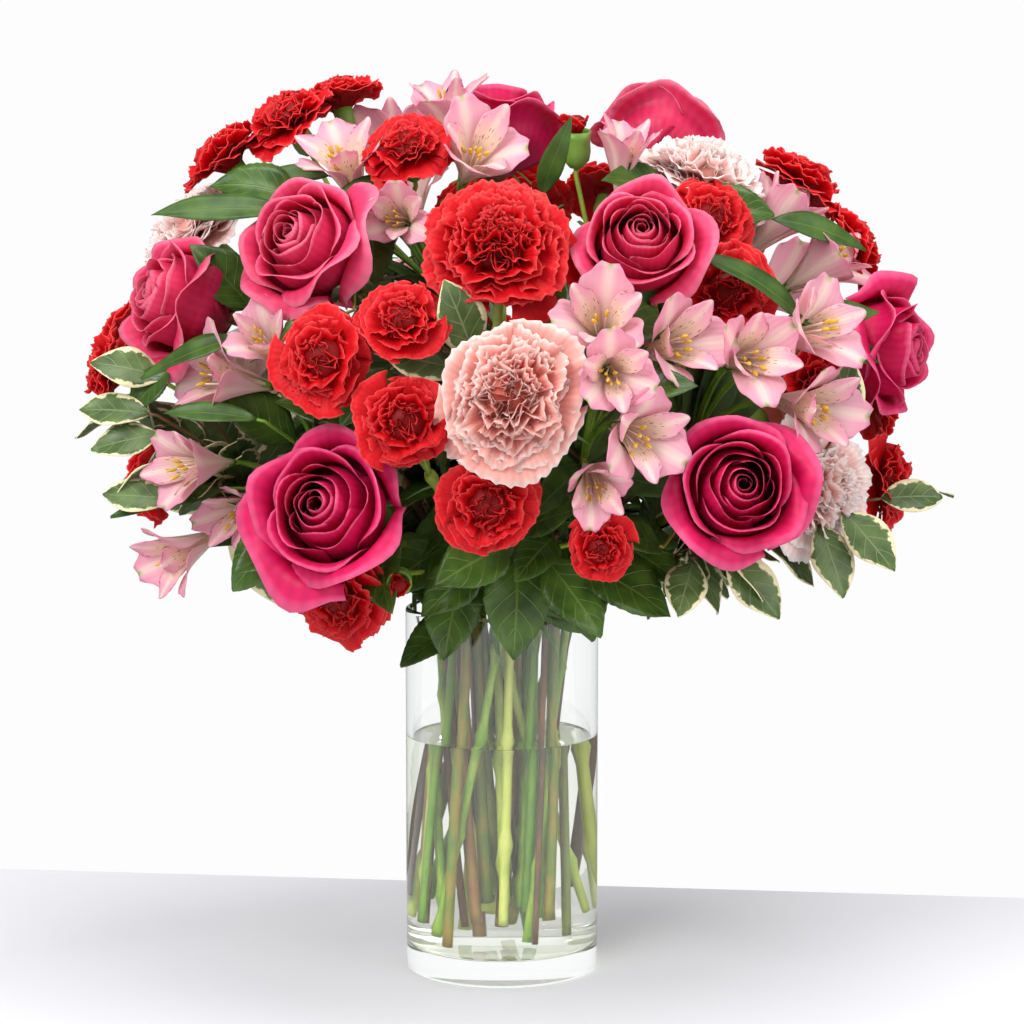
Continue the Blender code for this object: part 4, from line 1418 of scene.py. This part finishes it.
@dataclass(frozen=True)
class RuffleForm:
    """The measures of a carnation bloom, in mm.

    Attributes:
        disc_radius: Radius of the plain solid's top.
        disc_height: Its height over the bloom's base.
        petals: Number of petals.
        mouth: Height of the calyx's mouth.
        inner: Length of the heart's petals.
        outer: Length of the outermost petals.
        spread: How far the outermost petals open from the axis, in degrees.
        fan: Half the fan angle of the outermost petals, in degrees.
        ruffle: Height of the folds.
        teeth: Teeth along an outer petal's edge.
        columns: Cells across a petal.
        rows: Cells along a petal.
    """

    disc_radius: float
    disc_height: float
    petals: int
    mouth: float
    inner: float
    outer: float
    spread: float
    fan: float
    ruffle: float
    teeth: int
    columns: int
    rows: int

    def petal(self, share: float, turn: float, chance: random.Random) -> bmesh.types.BMesh:
        """One ruffled fan-shaped petal with a toothed edge.

        Args:
            share: Its place from the heart (0) to the outside (1).
            turn: Its direction round the bloom.
            chance: The random source.

        Returns:
            The petal in mm, with the bloom's base at the origin and its axis along Z.
        """
        uneven = blend(0.06, 0.24, share)
        length = blend(self.inner, self.outer, share) * chance.uniform(1 - uneven, 1 + uneven / 2)
        lean = math.radians(blend(3, self.spread, share ** 0.9)
                            + chance.uniform(-13, 9) * (1 + share))
        turn += chance.uniform(-0.5, 0.5)
        fan = math.radians(blend(self.fan * 0.62, self.fan, share))
        folds = blend(0.8, 0.32, ease(share)) * self.ruffle * chance.uniform(0.75, 1.25)
        waves = blend(9.0, 12.0, share) + chance.uniform(-1.5, 1.5)
        phase, phase_2 = chance.uniform(0, math.tau), chance.uniform(0, math.tau)
        tighten = blend(0.72, 0.97, share)
        rail = Rail((blend(0.2, 2.2, share), self.mouth - 3), length, 16,
                    lambda s: lean * ease(s / 0.45) + 0.25 * share * s ** 2)

        def place(u: float, v: float) -> Vector:
            """Bend one point of the carnation petal.

            Args:
                u: Across, from -1 to 1.
                v: Along, from 0 to 1.

            Returns:
                The point in mm.
            """
            tooth = abs(((u + 1) / 2 * self.teeth + phase) % 1.0 - 0.5) * 2
            reach = v * (1 - 0.045 * tooth * v ** 6 - 0.2 * u ** 4 * v * v
                         - 0.05 * (1 + math.sin(4.4 * u + phase_2)) * v * v)
            r, z, slope = rail.at(reach)
            side = length * (0.1 + 0.9 * v) * math.sin(u * fan) * tighten
            back = length * v * (1 - math.cos(u * fan)) * 0.8
            lift = folds * v ** 1.8 * (0.5 * math.sin(waves * u + phase)
                                       + 0.85 * math.sin(3.6 * u + phase_2))
            lift += 0.13 * self.ruffle * v ** 5 * math.sin(23 * u + phase_2 + 2 * math.sin(3 * u))
            out, rise = math.sin(slope), math.cos(slope)
            radius = r - back * out - lift * rise
            height = z - back * rise + lift * out
            return round_axis(radius, side, height, turn)

        # painted shade: petals nearer the heart get a lower tone, which the finish darkens; each
        # petal also gets a random tone of its own
        return sheet(self.columns, self.rows, place, 0.3,
                     tone=blend(0.7, 1.0, share) + chance.uniform(-0.25, 0.1))

    def build(self, name: str) -> bpy.types.Mesh:
        """Build a whole head of petals round a dense heart.

        Args:
            name: The head's name, which also sets its random draws.

        Returns:
            The mesh in mm.
        """
        chance = seeded(name)
        bloom = Piece(name, [])
        for k in range(self.petals):
            share = ((k + 0.5) / self.petals) ** 1.2
            bloom.add(self.petal(share, k * GOLDEN_ANGLE, chance))
        # the heart has tone 0 and sits at the foot of the UV map, so it takes the petals' foot
        # colour under the full painted shade
        wide, deep = self.inner * 0.5, self.inner * 0.74
        heart = [(wide * r, self.mouth + deep * z) for r, z in HEART]
        bloom.add(turned([(0, self.mouth - 4), (wide * 0.3, self.mouth - 3), *heart], 20))
        return bloom.form()


class Ruffle(Enum):
    """The kinds of carnation head."""

    STANDARD = RuffleForm(disc_radius=22, disc_height=53, petals=62, mouth=21, inner=34,
                          outer=46, spread=102, fan=46, ruffle=6.5, teeth=12, columns=34, rows=8)
    MINI = RuffleForm(disc_radius=11, disc_height=34, petals=25, mouth=14, inner=21,
                      outer=29, spread=100, fan=52, ruffle=5.0, teeth=9, columns=25, rows=7)
    BUD = RuffleForm(disc_radius=5, disc_height=25, petals=10, mouth=16, inner=9,
                     outer=12, spread=34, fan=42, ruffle=2.0, teeth=5, columns=12, rows=4)


@dataclass
class Carnation:
    """Standard and spray carnations: jointed waxy stems, green cups and ruffled heads.

    Attributes:
        variants: Different heads of each kind.
        joint_gap: Distance between a stem's joints.
        stem: Radius of a standard carnation's stem.
        spray_stem: Radius of a spray carnation's stem.
        spray_branch: Radius of its branches.
        bud_radius: Radius of the plain solid's top under which a head is a bud.
        meshes: The heads of each kind, in mm.
    """

    variants: int = 3
    joint_gap: float = 48.0
    stem: float = 2.3
    spray_stem: float = 2.2
    spray_branch: float = 1.25
    bud_radius: float = 7.5
    meshes: dict[Ruffle, list[bpy.types.Mesh]] = field(default_factory=dict)

    def build_meshes(self) -> None:
        """Build the heads that all carnations are copied from."""
        for kind in Ruffle:
            self.meshes[kind] = [kind.value.build(f"{kind.name.lower()}_form_{i}")
                                 for i in range(self.variants)]

    @staticmethod
    def cup_outline(kind: Ruffle) -> list[tuple[float, float]]:
        """The outline of the green cup under a head.

        Args:
            kind: The kind of head.

        Returns:
            The outline in mm.
        """
        mouth = kind.value.mouth
        wide = mouth * 0.39
        return [(0, -0.5), *((wide * r, mouth * z) for r, z in CUP), (0, mouth * 0.5)]

    def add_head(self, petals: Piece, green: Piece, disc: Plate, kind: Ruffle,
                 chance: random.Random) -> Vector:
        """Add one head to its pieces.

        Args:
            petals: The piece that takes the petals.
            green: The piece that takes the cup, whose finish is number 1 there.
            disc: The top of the plain head.
            kind: The kind of head.
            chance: The random source.

        Returns:
            The base of the head.
        """
        form = kind.value
        size, base = disc.tops(form.disc_radius, form.disc_height)
        turn = aim(disc.normal) @ Matrix.Rotation(chance.uniform(0, math.tau), 4, "Z")
        matrix = Matrix.Translation(base) @ turn @ Matrix.Scale(size * MM, 4)
        squash = Matrix.Diagonal((chance.uniform(0.94, 1.06), chance.uniform(0.94, 1.06), 1, 1))
        petals.add_mesh(chance.choice(self.meshes[kind]), matrix @ squash)
        green.add(turned(self.cup_outline(kind), 12), 1, matrix)
        return base

    def add_stem(self, green: Piece, course: list[Vector], radius: float,
                 chance: random.Random) -> None:
        """A jointed stem with narrow paired leaves.

        Args:
            green: The piece, with the stem's finish at 0 and the leaves' at 2.
            course: The stem's middle.
            radius: Its radius in mm.
            chance: The random source.
        """
        course = smooth_course(course, 4 * MM)
        gap = round(self.joint_gap / 4)
        offset = chance.randrange(gap)
        radii = []
        for i in range(len(course)):
            near = min((i + offset) % gap, gap - (i + offset) % gap)
            radii.append(radius * (1 + 0.6 * max(0.0, 1 - near / 1.7)) * MM)
        green.add(tube(course, radii, 12, chance.random()), 0)
        for i in range(len(course)):
            if (i + offset) % gap or course[i].z < 0.2 or i > len(course) - 3:
                continue
            way = (course[i + 1] - course[i]).normalized()
            side = Matrix.Rotation(chance.uniform(0, math.tau), 3, way) @ way.orthogonal()
            for hand in (side, -side):
                place_leaf(green, 2, Leaf.GRASS, course[i], hand + way * 1.2, way,
                           chance.uniform(0.7, 1.1), chance)

    def dress_single(self, name: str, petal: Finish, slot: str) -> None:
        """Build a standard carnation.

        Args:
            name: Its name, which its nodes start with.
            petal: The finish of its petals.
            slot: The record's slot for them.
        """
        chance = seeded(name)
        disc = PlainSolid(name + "_bloom").discs()[0]
        petals = Piece(name + "_petals", [petal])
        green = Piece(name + "_jointed_stem",
                      [Finish.CARNATION_STEM, Finish.CALYX, Finish.GREY_LEAF])
        self.add_head(petals, green, disc, Ruffle.STANDARD, chance)
        course = PlainSolid(name + "_stem").course()
        self.add_stem(green, course, self.stem, chance)
        add_accents(green, name, course, chance)
        petals.finish([name + "_bloom"], slot)
        green.finish([name + "_stem"], "carnation_stems")

    def dress_spray(self, name: str) -> None:
        """Build a spray carnation with its branches, heads and buds.

        Args:
            name: Its node's name.
        """
        chance = seeded(name)
        solid = PlainSolid(name)
        petals = Piece(name + "_petals", [Finish.RED_PETAL])
        green = Piece(name + "_jointed_stem",
                      [Finish.CARNATION_STEM, Finish.CALYX, Finish.GREY_LEAF])
        course = solid.course()
        fork = course[-1]
        self.add_stem(green, course, self.spray_stem, chance)
        for disc in solid.discs():
            kind = Ruffle.BUD if disc.radius < self.bud_radius * MM else Ruffle.MINI
            base = self.add_head(petals, green, disc, kind, chance)
            green.add(branch(fork, base, disc.normal, self.spray_branch * MM), 0)
        add_accents(green, name, course, chance)
        petals.finish([name], "red_petals")
        green.finish([name], "carnation_stems")


def branch(fork: Vector, end: Vector, way: Vector, radius: float) -> bmesh.types.BMesh:
    """A thin side stem from a fork to a head.

    Args:
        fork: Where it starts.
        end: Where it ends.
        way: The way the head looks.
        radius: Its radius in metres.

    Returns:
        The shape.
    """
    span = (end - fork).length
    middle = (fork + end) / 2 - way * span * 0.12 + UP * span * 0.04
    course = smooth_course([fork, middle, end - way * min(4 * MM, span * 0.2), end], 6 * MM)
    return tube(course, [radius] * len(course), 8)


# -------------------------------------------------------------- alstroemeria

@dataclass
class Alstroemeria:
    """A lily-like umbel: funnels of three broad and three flecked tepals, with stamens.

    Attributes:
        disc_radius: Radius of the plain solid's top.
        disc_height: Its height over the floret's base.
        variants: Different florets that the umbels share.
        fullness: Width of an open floret beside its form.
        openings: How far florets are open, which each draws from.
        leaves: Leaves under an umbel.
        stem_foot: Radius of a stem at its cut end.
        stem_top: Radius of a stem under its umbel.
        stalk: Radius of a floret's stalk.
        meshes: The florets, in mm.
    """

    disc_radius: float = 17.0
    disc_height: float = 38.0
    variants: int = 6
    fullness: float = 0.9
    openings: tuple[float, ...] = (0.72, 0.86, 1.0, 1.0)
    leaves: int = 9
    stem_foot: float = 2.4
    stem_top: float = 2.0
    stalk: float = 1.5
    meshes: list[bpy.types.Mesh] = field(default_factory=list)

    def tepal(self, turn: float, inner: bool, chance: random.Random) -> bmesh.types.BMesh:
        """One tepal of the funnel.

        Args:
            turn: Its direction round the bloom.
            inner: Whether it is one of the narrow flecked ones.
            chance: The random source.

        Returns:
            The tepal in mm, with the bloom's base at the origin and its axis along Z.
        """
        length = (56 if inner else 54) * chance.uniform(0.95, 1.05)
        widest = (8.5 if inner else 15.0) * chance.uniform(0.92, 1.08)
        flare = math.radians((50 if inner else 56) + chance.uniform(-16, 12))
        first = math.radians(12 if inner else 16)
        phase = chance.uniform(0, math.tau)
        rail = Rail((1.6 if inner else 2.2, 0.0), length, 18,
                    lambda s: blend(first, flare, ease((s - 0.35) / 0.55)))

        def place(u: float, v: float) -> Vector:
            """Bend one point of the tepal.

            Args:
                u: Across, from -1 to 1.
                v: Along, from 0 to 1.

            Returns:
                The point in mm.
            """
            notch = 0.0 if inner else 0.05 * max(0.0, 1 - abs(abs(u) - 0.45) / 0.35) * v ** 8
            reach = v * (1 - (0.16 if inner else 0.13) * u * u * v ** 3) + notch - 0.03 * v ** 8
            r, z, slope = rail.at(reach)
            grow = math.sin(min(1.0, max(0.0, v - 0.05) / 0.74) * math.pi / 2) ** 1.7
            close = math.sqrt(max(0.0, 1 - max(0.0, (v - 0.8) / 0.23) ** 2))
            half = 1.1 + (widest - 1.1) * grow * blend(0.35 if inner else 0.5, 1.0, close)
            side = u * half
            cup = 0.32 * half * u * u * (1 - 0.65 * v) + 0.5 * math.sin(5 * u + phase) * v ** 4
            out, rise = math.sin(slope), math.cos(slope)
            radius = r - cup * rise
            height = z + cup * out
            return round_axis(radius, side, height, turn)

        return sheet(10, 16, place, 0.4, tone=chance.uniform(0.6, 1.0))

    def build_meshes(self) -> None:
        """Build the funnels that all florets are copied from."""
        for variant in range(self.variants):
            chance = seeded(f"floret{variant}")
            bloom = Piece(f"floret_form_{variant}", [])
            for k in range(3):
                spin = math.radians(90 + 120 * k)
                bloom.add(self.tepal(spin + math.pi, False, chance), 0)
                bloom.add(self.tepal(spin, True, chance), 1)
            for k in range(6):
                self.add_stamen(bloom, k * math.tau / 6 + 0.4, chance)
            self.meshes.append(bloom.form())

    @staticmethod
    def add_stamen(bloom: Piece, turn: float, chance: random.Random) -> None:
        """A curved filament with its anther.

        Args:
            bloom: The piece they join, with their finishes at 2 and 3.
            turn: Its direction round the bloom.
            chance: The random source.
        """
        tall = chance.uniform(30, 40)
        lean = chance.uniform(3.0, 7.0)
        out = Vector((math.cos(turn), math.sin(turn), 0))
        droop = Vector((0, -1, 0)) * chance.uniform(2, 6)
        points = [out * 1.2, out * (1.5 + lean * 0.3) + UP * tall * 0.5,
                  out * lean + droop + UP * tall]
        course = smooth_course(points, 6)
        bloom.add(tube(course, [0.45] * len(course), 5), 2)
        anther = new_shape()
        bmesh.ops.create_uvsphere(anther, u_segments=7, v_segments=5, radius=1.0)
        for face in anther.faces:
            face.smooth = True
        way = course[-1] - course[-2]
        matrix = Matrix.Translation(course[-1]) @ aim(way + out * chance.uniform(0, 3)) \
            @ Matrix.Diagonal((1.2, 1.2, 3.2, 1.0))
        bloom.add(anther, 3, matrix)

    def dress(self, name: str) -> None:
        """Build an umbel with its leafy stem.

        Args:
            name: Its node's name.
        """
        chance = seeded(name)
        solid = PlainSolid(name)
        bloom = Piece(name + "_tepals", [Finish.OUTER_TEPAL, Finish.INNER_TEPAL, Finish.FILAMENT,
                                         Finish.ANTHER])
        green = Piece(name + "_leafy_stem", [Finish.ALSTRO_STEM, Finish.LANCE_LEAF])
        course = solid.course()
        fork = course[-1]
        fine = smooth_course(course, 6 * MM)
        radii = [blend(self.stem_foot, self.stem_top, i / len(fine)) * MM
                 for i in range(len(fine))]
        green.add(tube(fine, radii, 12, chance.random() * chance.random()), 0)
        discs = solid.discs()
        for disc in discs:
            size, base = disc.tops(self.disc_radius, self.disc_height)
            roll = Matrix.Rotation(chance.uniform(-1.4, 1.4), 4, "Z")
            full = self.fullness * chance.choice(self.openings)
            opening = Matrix.Diagonal((full, full, 0.96, 1.0))
            matrix = Matrix.Translation(base) @ aim(disc.normal) @ roll \
                @ Matrix.Scale(size * MM, 4) @ opening
            bloom.add_mesh(chance.choice(self.meshes), matrix)
            green.add(branch(fork, base, disc.normal, self.stalk * MM), 0)
            green.add(turned(OVARY, 10), 0, matrix)
        middle = sum((d.centre for d in discs), Vector()) / len(discs)
        way = (middle - fork).normalized()
        for k in range(self.leaves):
            outward = Matrix.Rotation(k * GOLDEN_ANGLE, 3, way) @ way.orthogonal()
            foot = fork - way * 4 * MM * (k % 4)
            tip = outward * chance.uniform(0.6, 1.1) + way
            place_leaf(green, 1, Leaf.LANCE, foot, tip, way - outward * 0.3,
                       chance.uniform(0.7, 1.1), chance)
        add_accents(green, name, course, chance)
        bloom.finish([name], "alstroemeria_petals")
        green.finish([name], "carnation_stems")


# -------------------------------------------------------------------- greens

@dataclass
class Greens:
    """Twigs with leaves: variegated pittosporum and broad leathery leaves.

    Attributes:
        side_leaves: Small leaves on each side twig.
        rise: How far a leaf stands over its plain solid.
        collar: Broad leaves over the rim.
        twig: Radius of a twig.
        side_twig: Radius of its side twigs.
    """

    side_leaves: int = 3
    rise: float = 16.0
    collar: int = 8
    twig: float = 1.7
    side_twig: float = 0.9

    def dress(self, name: str, kind: Leaf, slot: str) -> None:
        """Build one twig with its leaves.

        Args:
            name: The node's name.
            kind: The kind of leaf.
            slot: The record's slot.
        """
        chance = seeded(name)
        solid = PlainSolid(name)
        piece = Piece(name + "_twig", [Finish.WOODY_STEM, kind.value.finish])
        course = solid.course()
        fork = course[-1]
        fine = smooth_course(course, 6 * MM)
        piece.add(tube(fine, [self.twig * MM] * len(fine), 10, chance.random()), 0)
        for plate in solid.leaves():
            way = plate.along if plate.along.dot(plate.centre - fork) > 0 else -plate.along
            foot = plate.centre - way * plate.length * 0.5 + UP * self.rise * MM
            piece.add(branch(fork, foot, way, self.side_twig * MM), 0)
            size = plate.length * 1.08 / (kind.value.length * MM)
            place_leaf(piece, 1, kind, foot, way, plate.normal, size, chance)
            for k in range(self.side_leaves):
                spot = fork.lerp(foot, 0.45 + 0.18 * k)
                side = way.cross(plate.normal) * (1 if k % 2 else -1)
                place_leaf(piece, 1, kind, spot, side + way, plate.normal,
                           size * chance.uniform(0.55, 0.85), chance)
        if kind is Leaf.SALAL:
            self.add_collar(piece, fork, chance)
        add_accents(piece, name, course, chance)
        piece.finish([name], slot)

    def add_collar(self, piece: Piece, fork: Vector, chance: random.Random) -> None:
        """Broad leaves that spread over the vase's rim on the twig's side of the bouquet.

        Args:
            piece: The piece they join, whose finish for them is number 1.
            fork: Where the twig forks.
            chance: The random source.
        """
        outward = Vector((fork.x, fork.y, 0)).normalized()
        for k in range(self.collar):
            swing = math.radians(blend(-85, 85, k / (self.collar - 1)))
            way = Matrix.Rotation(swing, 3, "Z") @ outward
            foot = way * chance.uniform(26, 36) * MM + UP * chance.uniform(214, 236) * MM
            tip = way + UP * chance.uniform(0.0, 0.35)
            piece.add(branch(fork, foot, way, self.side_twig * MM), 0)
            place_leaf(piece, 1, Leaf.SALAL, foot, tip, UP + way * 0.6,
                       chance.uniform(0.95, 1.2), chance)


# ---------------------------------------------------------------------- vase

@dataclass
class Vase:
    """A pressed glass cylinder with a thick foot, and the water in it.

    Attributes:
        steps: Steps of the turned bodies.
        wall: Thickness of the wall.
        floor: Thickness of the foot.
        corner: Radius inside, between wall and foot.
        push_up: Height of the hollow under the foot, which leaves air over the table.
        guard: Distance of the extra ring that keeps the shading even beside each bend.
        lap: How far the water laps into the glass, so that no air film shows.
        meniscus: How far the water climbs the wall.
    """

    steps: int = 128
    wall: float = 3.5
    floor: float = 13.5
    corner: float = 3.0
    push_up: float = 0.6
    guard: float = 0.4
    lap: float = 0.15
    meniscus: float = 0.8

    def glass_outline(self, radius: float, height: float) -> list[tuple[float, float]]:
        """The outline of the glass, from the middle of its inner floor round to its underside.

        Args:
            radius: The vase's outer radius.
            height: Its height.

        Returns:
            Radii and heights in mm.
        """
        inside = radius - self.wall
        lip = self.wall / 2
        bend = inside - self.corner
        outline = [(0, self.floor), (bend - self.guard, self.floor), (bend, self.floor)]
        outline += [(bend + self.corner * math.sin(a),
                     self.floor + self.corner * (1 - math.cos(a)))
                    for a in map(math.radians, (20, 45, 70, 90))]
        outline += [(inside, self.floor + self.corner + self.guard),
                    (inside, height - lip - self.guard)]
        outline += [(inside + lip - lip * math.cos(a), height - lip + lip * math.sin(a))
                    for a in map(math.radians, range(0, 181, 30))]
        outline += [(radius, height - lip - self.guard), (radius, 2.0), (radius, 1.6),
                    (radius - 0.5, 0.5), (radius - 1.6, 0), (radius - 3.6, 0),
                    (radius - 5.0, self.push_up), (radius - 5.4, self.push_up),
                    (0, self.push_up)]
        return outline

    def water_outline(self, inside: float, level: float) -> list[tuple[float, float]]:
        """The outline of the water, from the middle of its surface round to its underside.

        Args:
            inside: The vase's inner radius.
            level: The height of the surface.

        Returns:
            Radii and heights in mm.
        """
        reach = inside + self.lap
        low = self.floor - self.lap
        rim = level + self.meniscus
        outline = [(0, level), (inside - 3.2, level), (inside - 2.8, level),
                   (inside - 1.6, level + self.meniscus * 0.12),
                   (inside - 0.7, level + self.meniscus * 0.4), (reach, rim), (reach, rim - 0.3),
                   (reach, low + self.corner + self.guard), (reach, low + self.corner)]
        outline += [(inside - self.corner + (self.corner + self.lap) * math.cos(a),
                     self.floor + self.corner - (self.corner + self.lap) * math.sin(a))
                    for a in map(math.radians, (30, 60, 90))]
        outline += [(inside - self.corner - self.guard, low), (0, low)]
        return outline

    def dress(self) -> None:
        """Build the glass and the water from their boxes in the frame."""
        low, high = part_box("vase")
        radius = (high.x - low.x) / 2 / MM
        outline = self.glass_outline(radius, high.z / MM)
        glass = Piece("glass_cylinder", [Finish.GLASS])
        glass.add(turned(outline, self.steps), 0, Matrix.Scale(MM, 4))
        glass.finish(["vase"], "clear_glass")
        body = self.water_outline(radius - self.wall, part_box("water")[1].z / MM)
        water = Piece("water_body", [Finish.WATER])
        water.add(turned(body, self.steps), 0, Matrix.Scale(MM, 4))
        water.finish(["water"], "water")


# -------------------------------------------------------------------- studio

@dataclass(frozen=True)
class Softbox:
    """A square soft light that looks at the bouquet.

    Attributes:
        name: Its name.
        place: Where it hangs, in metres.
        size: Its side in metres.
        power: Its power in watts.
    """

    name: str
    place: tuple[float, float, float]
    size: float
    power: float

    def hang(self) -> None:
        """Make the light."""
        lamp = bpy.data.lights.new(self.name, "AREA")
        lamp.size = self.size
        lamp.energy = self.power
        thing = bpy.data.objects.new(self.name, lamp)
        thing.location = self.place
        way = Vector((0.0, 0.0, 0.28)) - Vector(self.place)
        thing.rotation_euler = way.to_track_quat("-Z", "Y").to_euler()
        bpy.context.scene.collection.objects.link(thing)


@dataclass
class Studio:
    """A pale table, a white surround and large soft lights.

    Attributes:
        lights: The soft lights.
        seen: Brightness of the surround where it is looked at, also through the glass.
        lighting: Its brightness as a light on matt surfaces.
        mirrored: Its brightness in reflections.
        table_back: How far behind the vase the table ends, in metres.
        table_turn: How far its back edge is turned, in degrees.
        eye: The camera's place in metres.
        pitch: How far it looks up, in degrees.
        lens: Its focal length in mm.
        bounces: How often light may turn, which the glass and the water need.
        mirror_bounces: How often it may be mirrored.
    """

    lights: tuple[Softbox, ...] = (Softbox("key_softbox", (-1.1, -1.6, 1.6), 1.2, 48.0),
                                   Softbox("fill_softbox", (1.6, -1.2, 0.9), 1.4, 18.0),
                                   Softbox("top_softbox", (0.2, -0.25, 1.8), 1.0, 17.0))
    seen: float = 1.0
    lighting: float = 0.72
    mirrored: float = 0.2
    bounces: int = 24
    mirror_bounces: int = 16
    table_back: float = 0.185
    table_turn: float = -7.0
    eye: tuple[float, float, float] = (0.0054, -1.5, 0.40)
    pitch: float = -5.94
    lens: float = 100.4

    def build(self) -> None:
        """Build the table, the lights, the surround and the camera."""
        self.table()
        self.surround()
        for light in self.lights:
            light.hang()
        self.camera()
        scene = bpy.context.scene
        scene.view_settings.view_transform = "Standard"
        scene.cycles.max_bounces = self.bounces
        scene.cycles.transmission_bounces = self.bounces
        scene.cycles.glossy_bounces = self.mirror_bounces

    def table(self) -> None:
        """A wide flat table whose back edge runs a little askew behind the vase."""
        shape = bmesh.new()
        bmesh.ops.create_grid(shape, x_segments=1, y_segments=1, size=1.0)
        stretch = Matrix.Rotation(math.radians(self.table_turn), 4, "Z") \
            @ Matrix.Translation((0, self.table_back - 3.0, 0)) @ Matrix.Diagonal((4, 3, 1, 1))
        bmesh.ops.transform(shape, matrix=stretch, verts=shape.verts)
        mesh = bpy.data.meshes.new("table")
        shape.to_mesh(mesh)
        shape.free()
        mesh.materials.append(Finish.FLOOR.material())
        thing = bpy.data.objects.new("table", mesh)
        bpy.context.scene.collection.objects.link(thing)

    def surround(self) -> None:
        """Even white light from all round."""
        world = bpy.data.worlds.new("white_surround")
        bpy.context.scene.world = world
        world.use_nodes = True
        tree = world.node_tree
        tree.nodes["Background"].inputs["Color"].default_value = srgb("FDFDFE")
        path = add_node(tree, "ShaderNodeLightPath")
        seen = add_node(tree, "ShaderNodeMath", {"operation": "MAXIMUM"},
                        {0: path.outputs["Is Camera Ray"],
                         1: path.outputs["Is Transmission Ray"]})
        lit = add_node(tree, "ShaderNodeMapRange",
                       links={"Value": path.outputs["Is Glossy Ray"], "To Min": self.lighting,
                              "To Max": self.mirrored})
        power = add_node(tree, "ShaderNodeMapRange",
                         links={"Value": seen.outputs[0], "To Min": lit.outputs[0],
                                "To Max": self.seen})
        tree.links.new(power.outputs[0], tree.nodes["Background"].inputs["Strength"])

    def camera(self) -> None:
        """The camera, in front and a little above."""
        lens = bpy.data.cameras.new("camera")
        lens.lens = self.lens
        lens.sensor_width = 36.0
        thing = bpy.data.objects.new("camera", lens)
        thing.location = self.eye
        thing.rotation_euler = (math.radians(90 + self.pitch), 0, 0)
        bpy.context.scene.collection.objects.link(thing)
        bpy.context.scene.camera = thing


def names(start: str, end: str = "") -> list[str]:
    """Find the frame's plants by their nodes' names.

    Args:
        start: How the name starts.
        end: How it ends, which is left off.

    Returns:
        The plants' names, by number.
    """
    found = [n[:len(n) - len(end)] for n in frame["nodes"] if n.startswith(start)
             and n.endswith(end)]
    return sorted(found, key=lambda n: int(n.rsplit("_", 1)[1]))


def main() -> None:
    """Build every piece of the bouquet, and the studio."""
    logging.basicConfig(level=logging.INFO, format="%(name)s: %(message)s")
    Vase().dress()
    rose = Rose()
    rose.build_meshes()
    for number, name in enumerate(names("rose_", "_bloom")):
        rose.dress(name, number)
    carnation = Carnation()
    carnation.build_meshes()
    petals = {"red_petals": Finish.RED_PETAL, "salmon_petals": Finish.SALMON_PETAL,
              "blush_petals": Finish.BLUSH_PETAL}
    slots = {part["node"]: part["material_slot"] for part in frame["record"]["subparts"]}
    for name in names("carnation_", "_bloom"):
        slot = slots[name + "_bloom"]
        carnation.dress_single(name, petals[slot], slot)
    for name in names("spray_carnation_"):
        carnation.dress_spray(name)
    alstroemeria = Alstroemeria()
    alstroemeria.build_meshes()
    for name in names("alstroemeria_"):
        alstroemeria.dress(name)
    greens = Greens()
    for name in names("pittosporum_"):
        greens.dress(name, Leaf.PITTOSPORUM, "variegated_leaves")
    for name in names("salal_"):
        greens.dress(name, Leaf.SALAL, "broad_leaves")
    Studio().build()


if __name__ == "__main__":
    main()
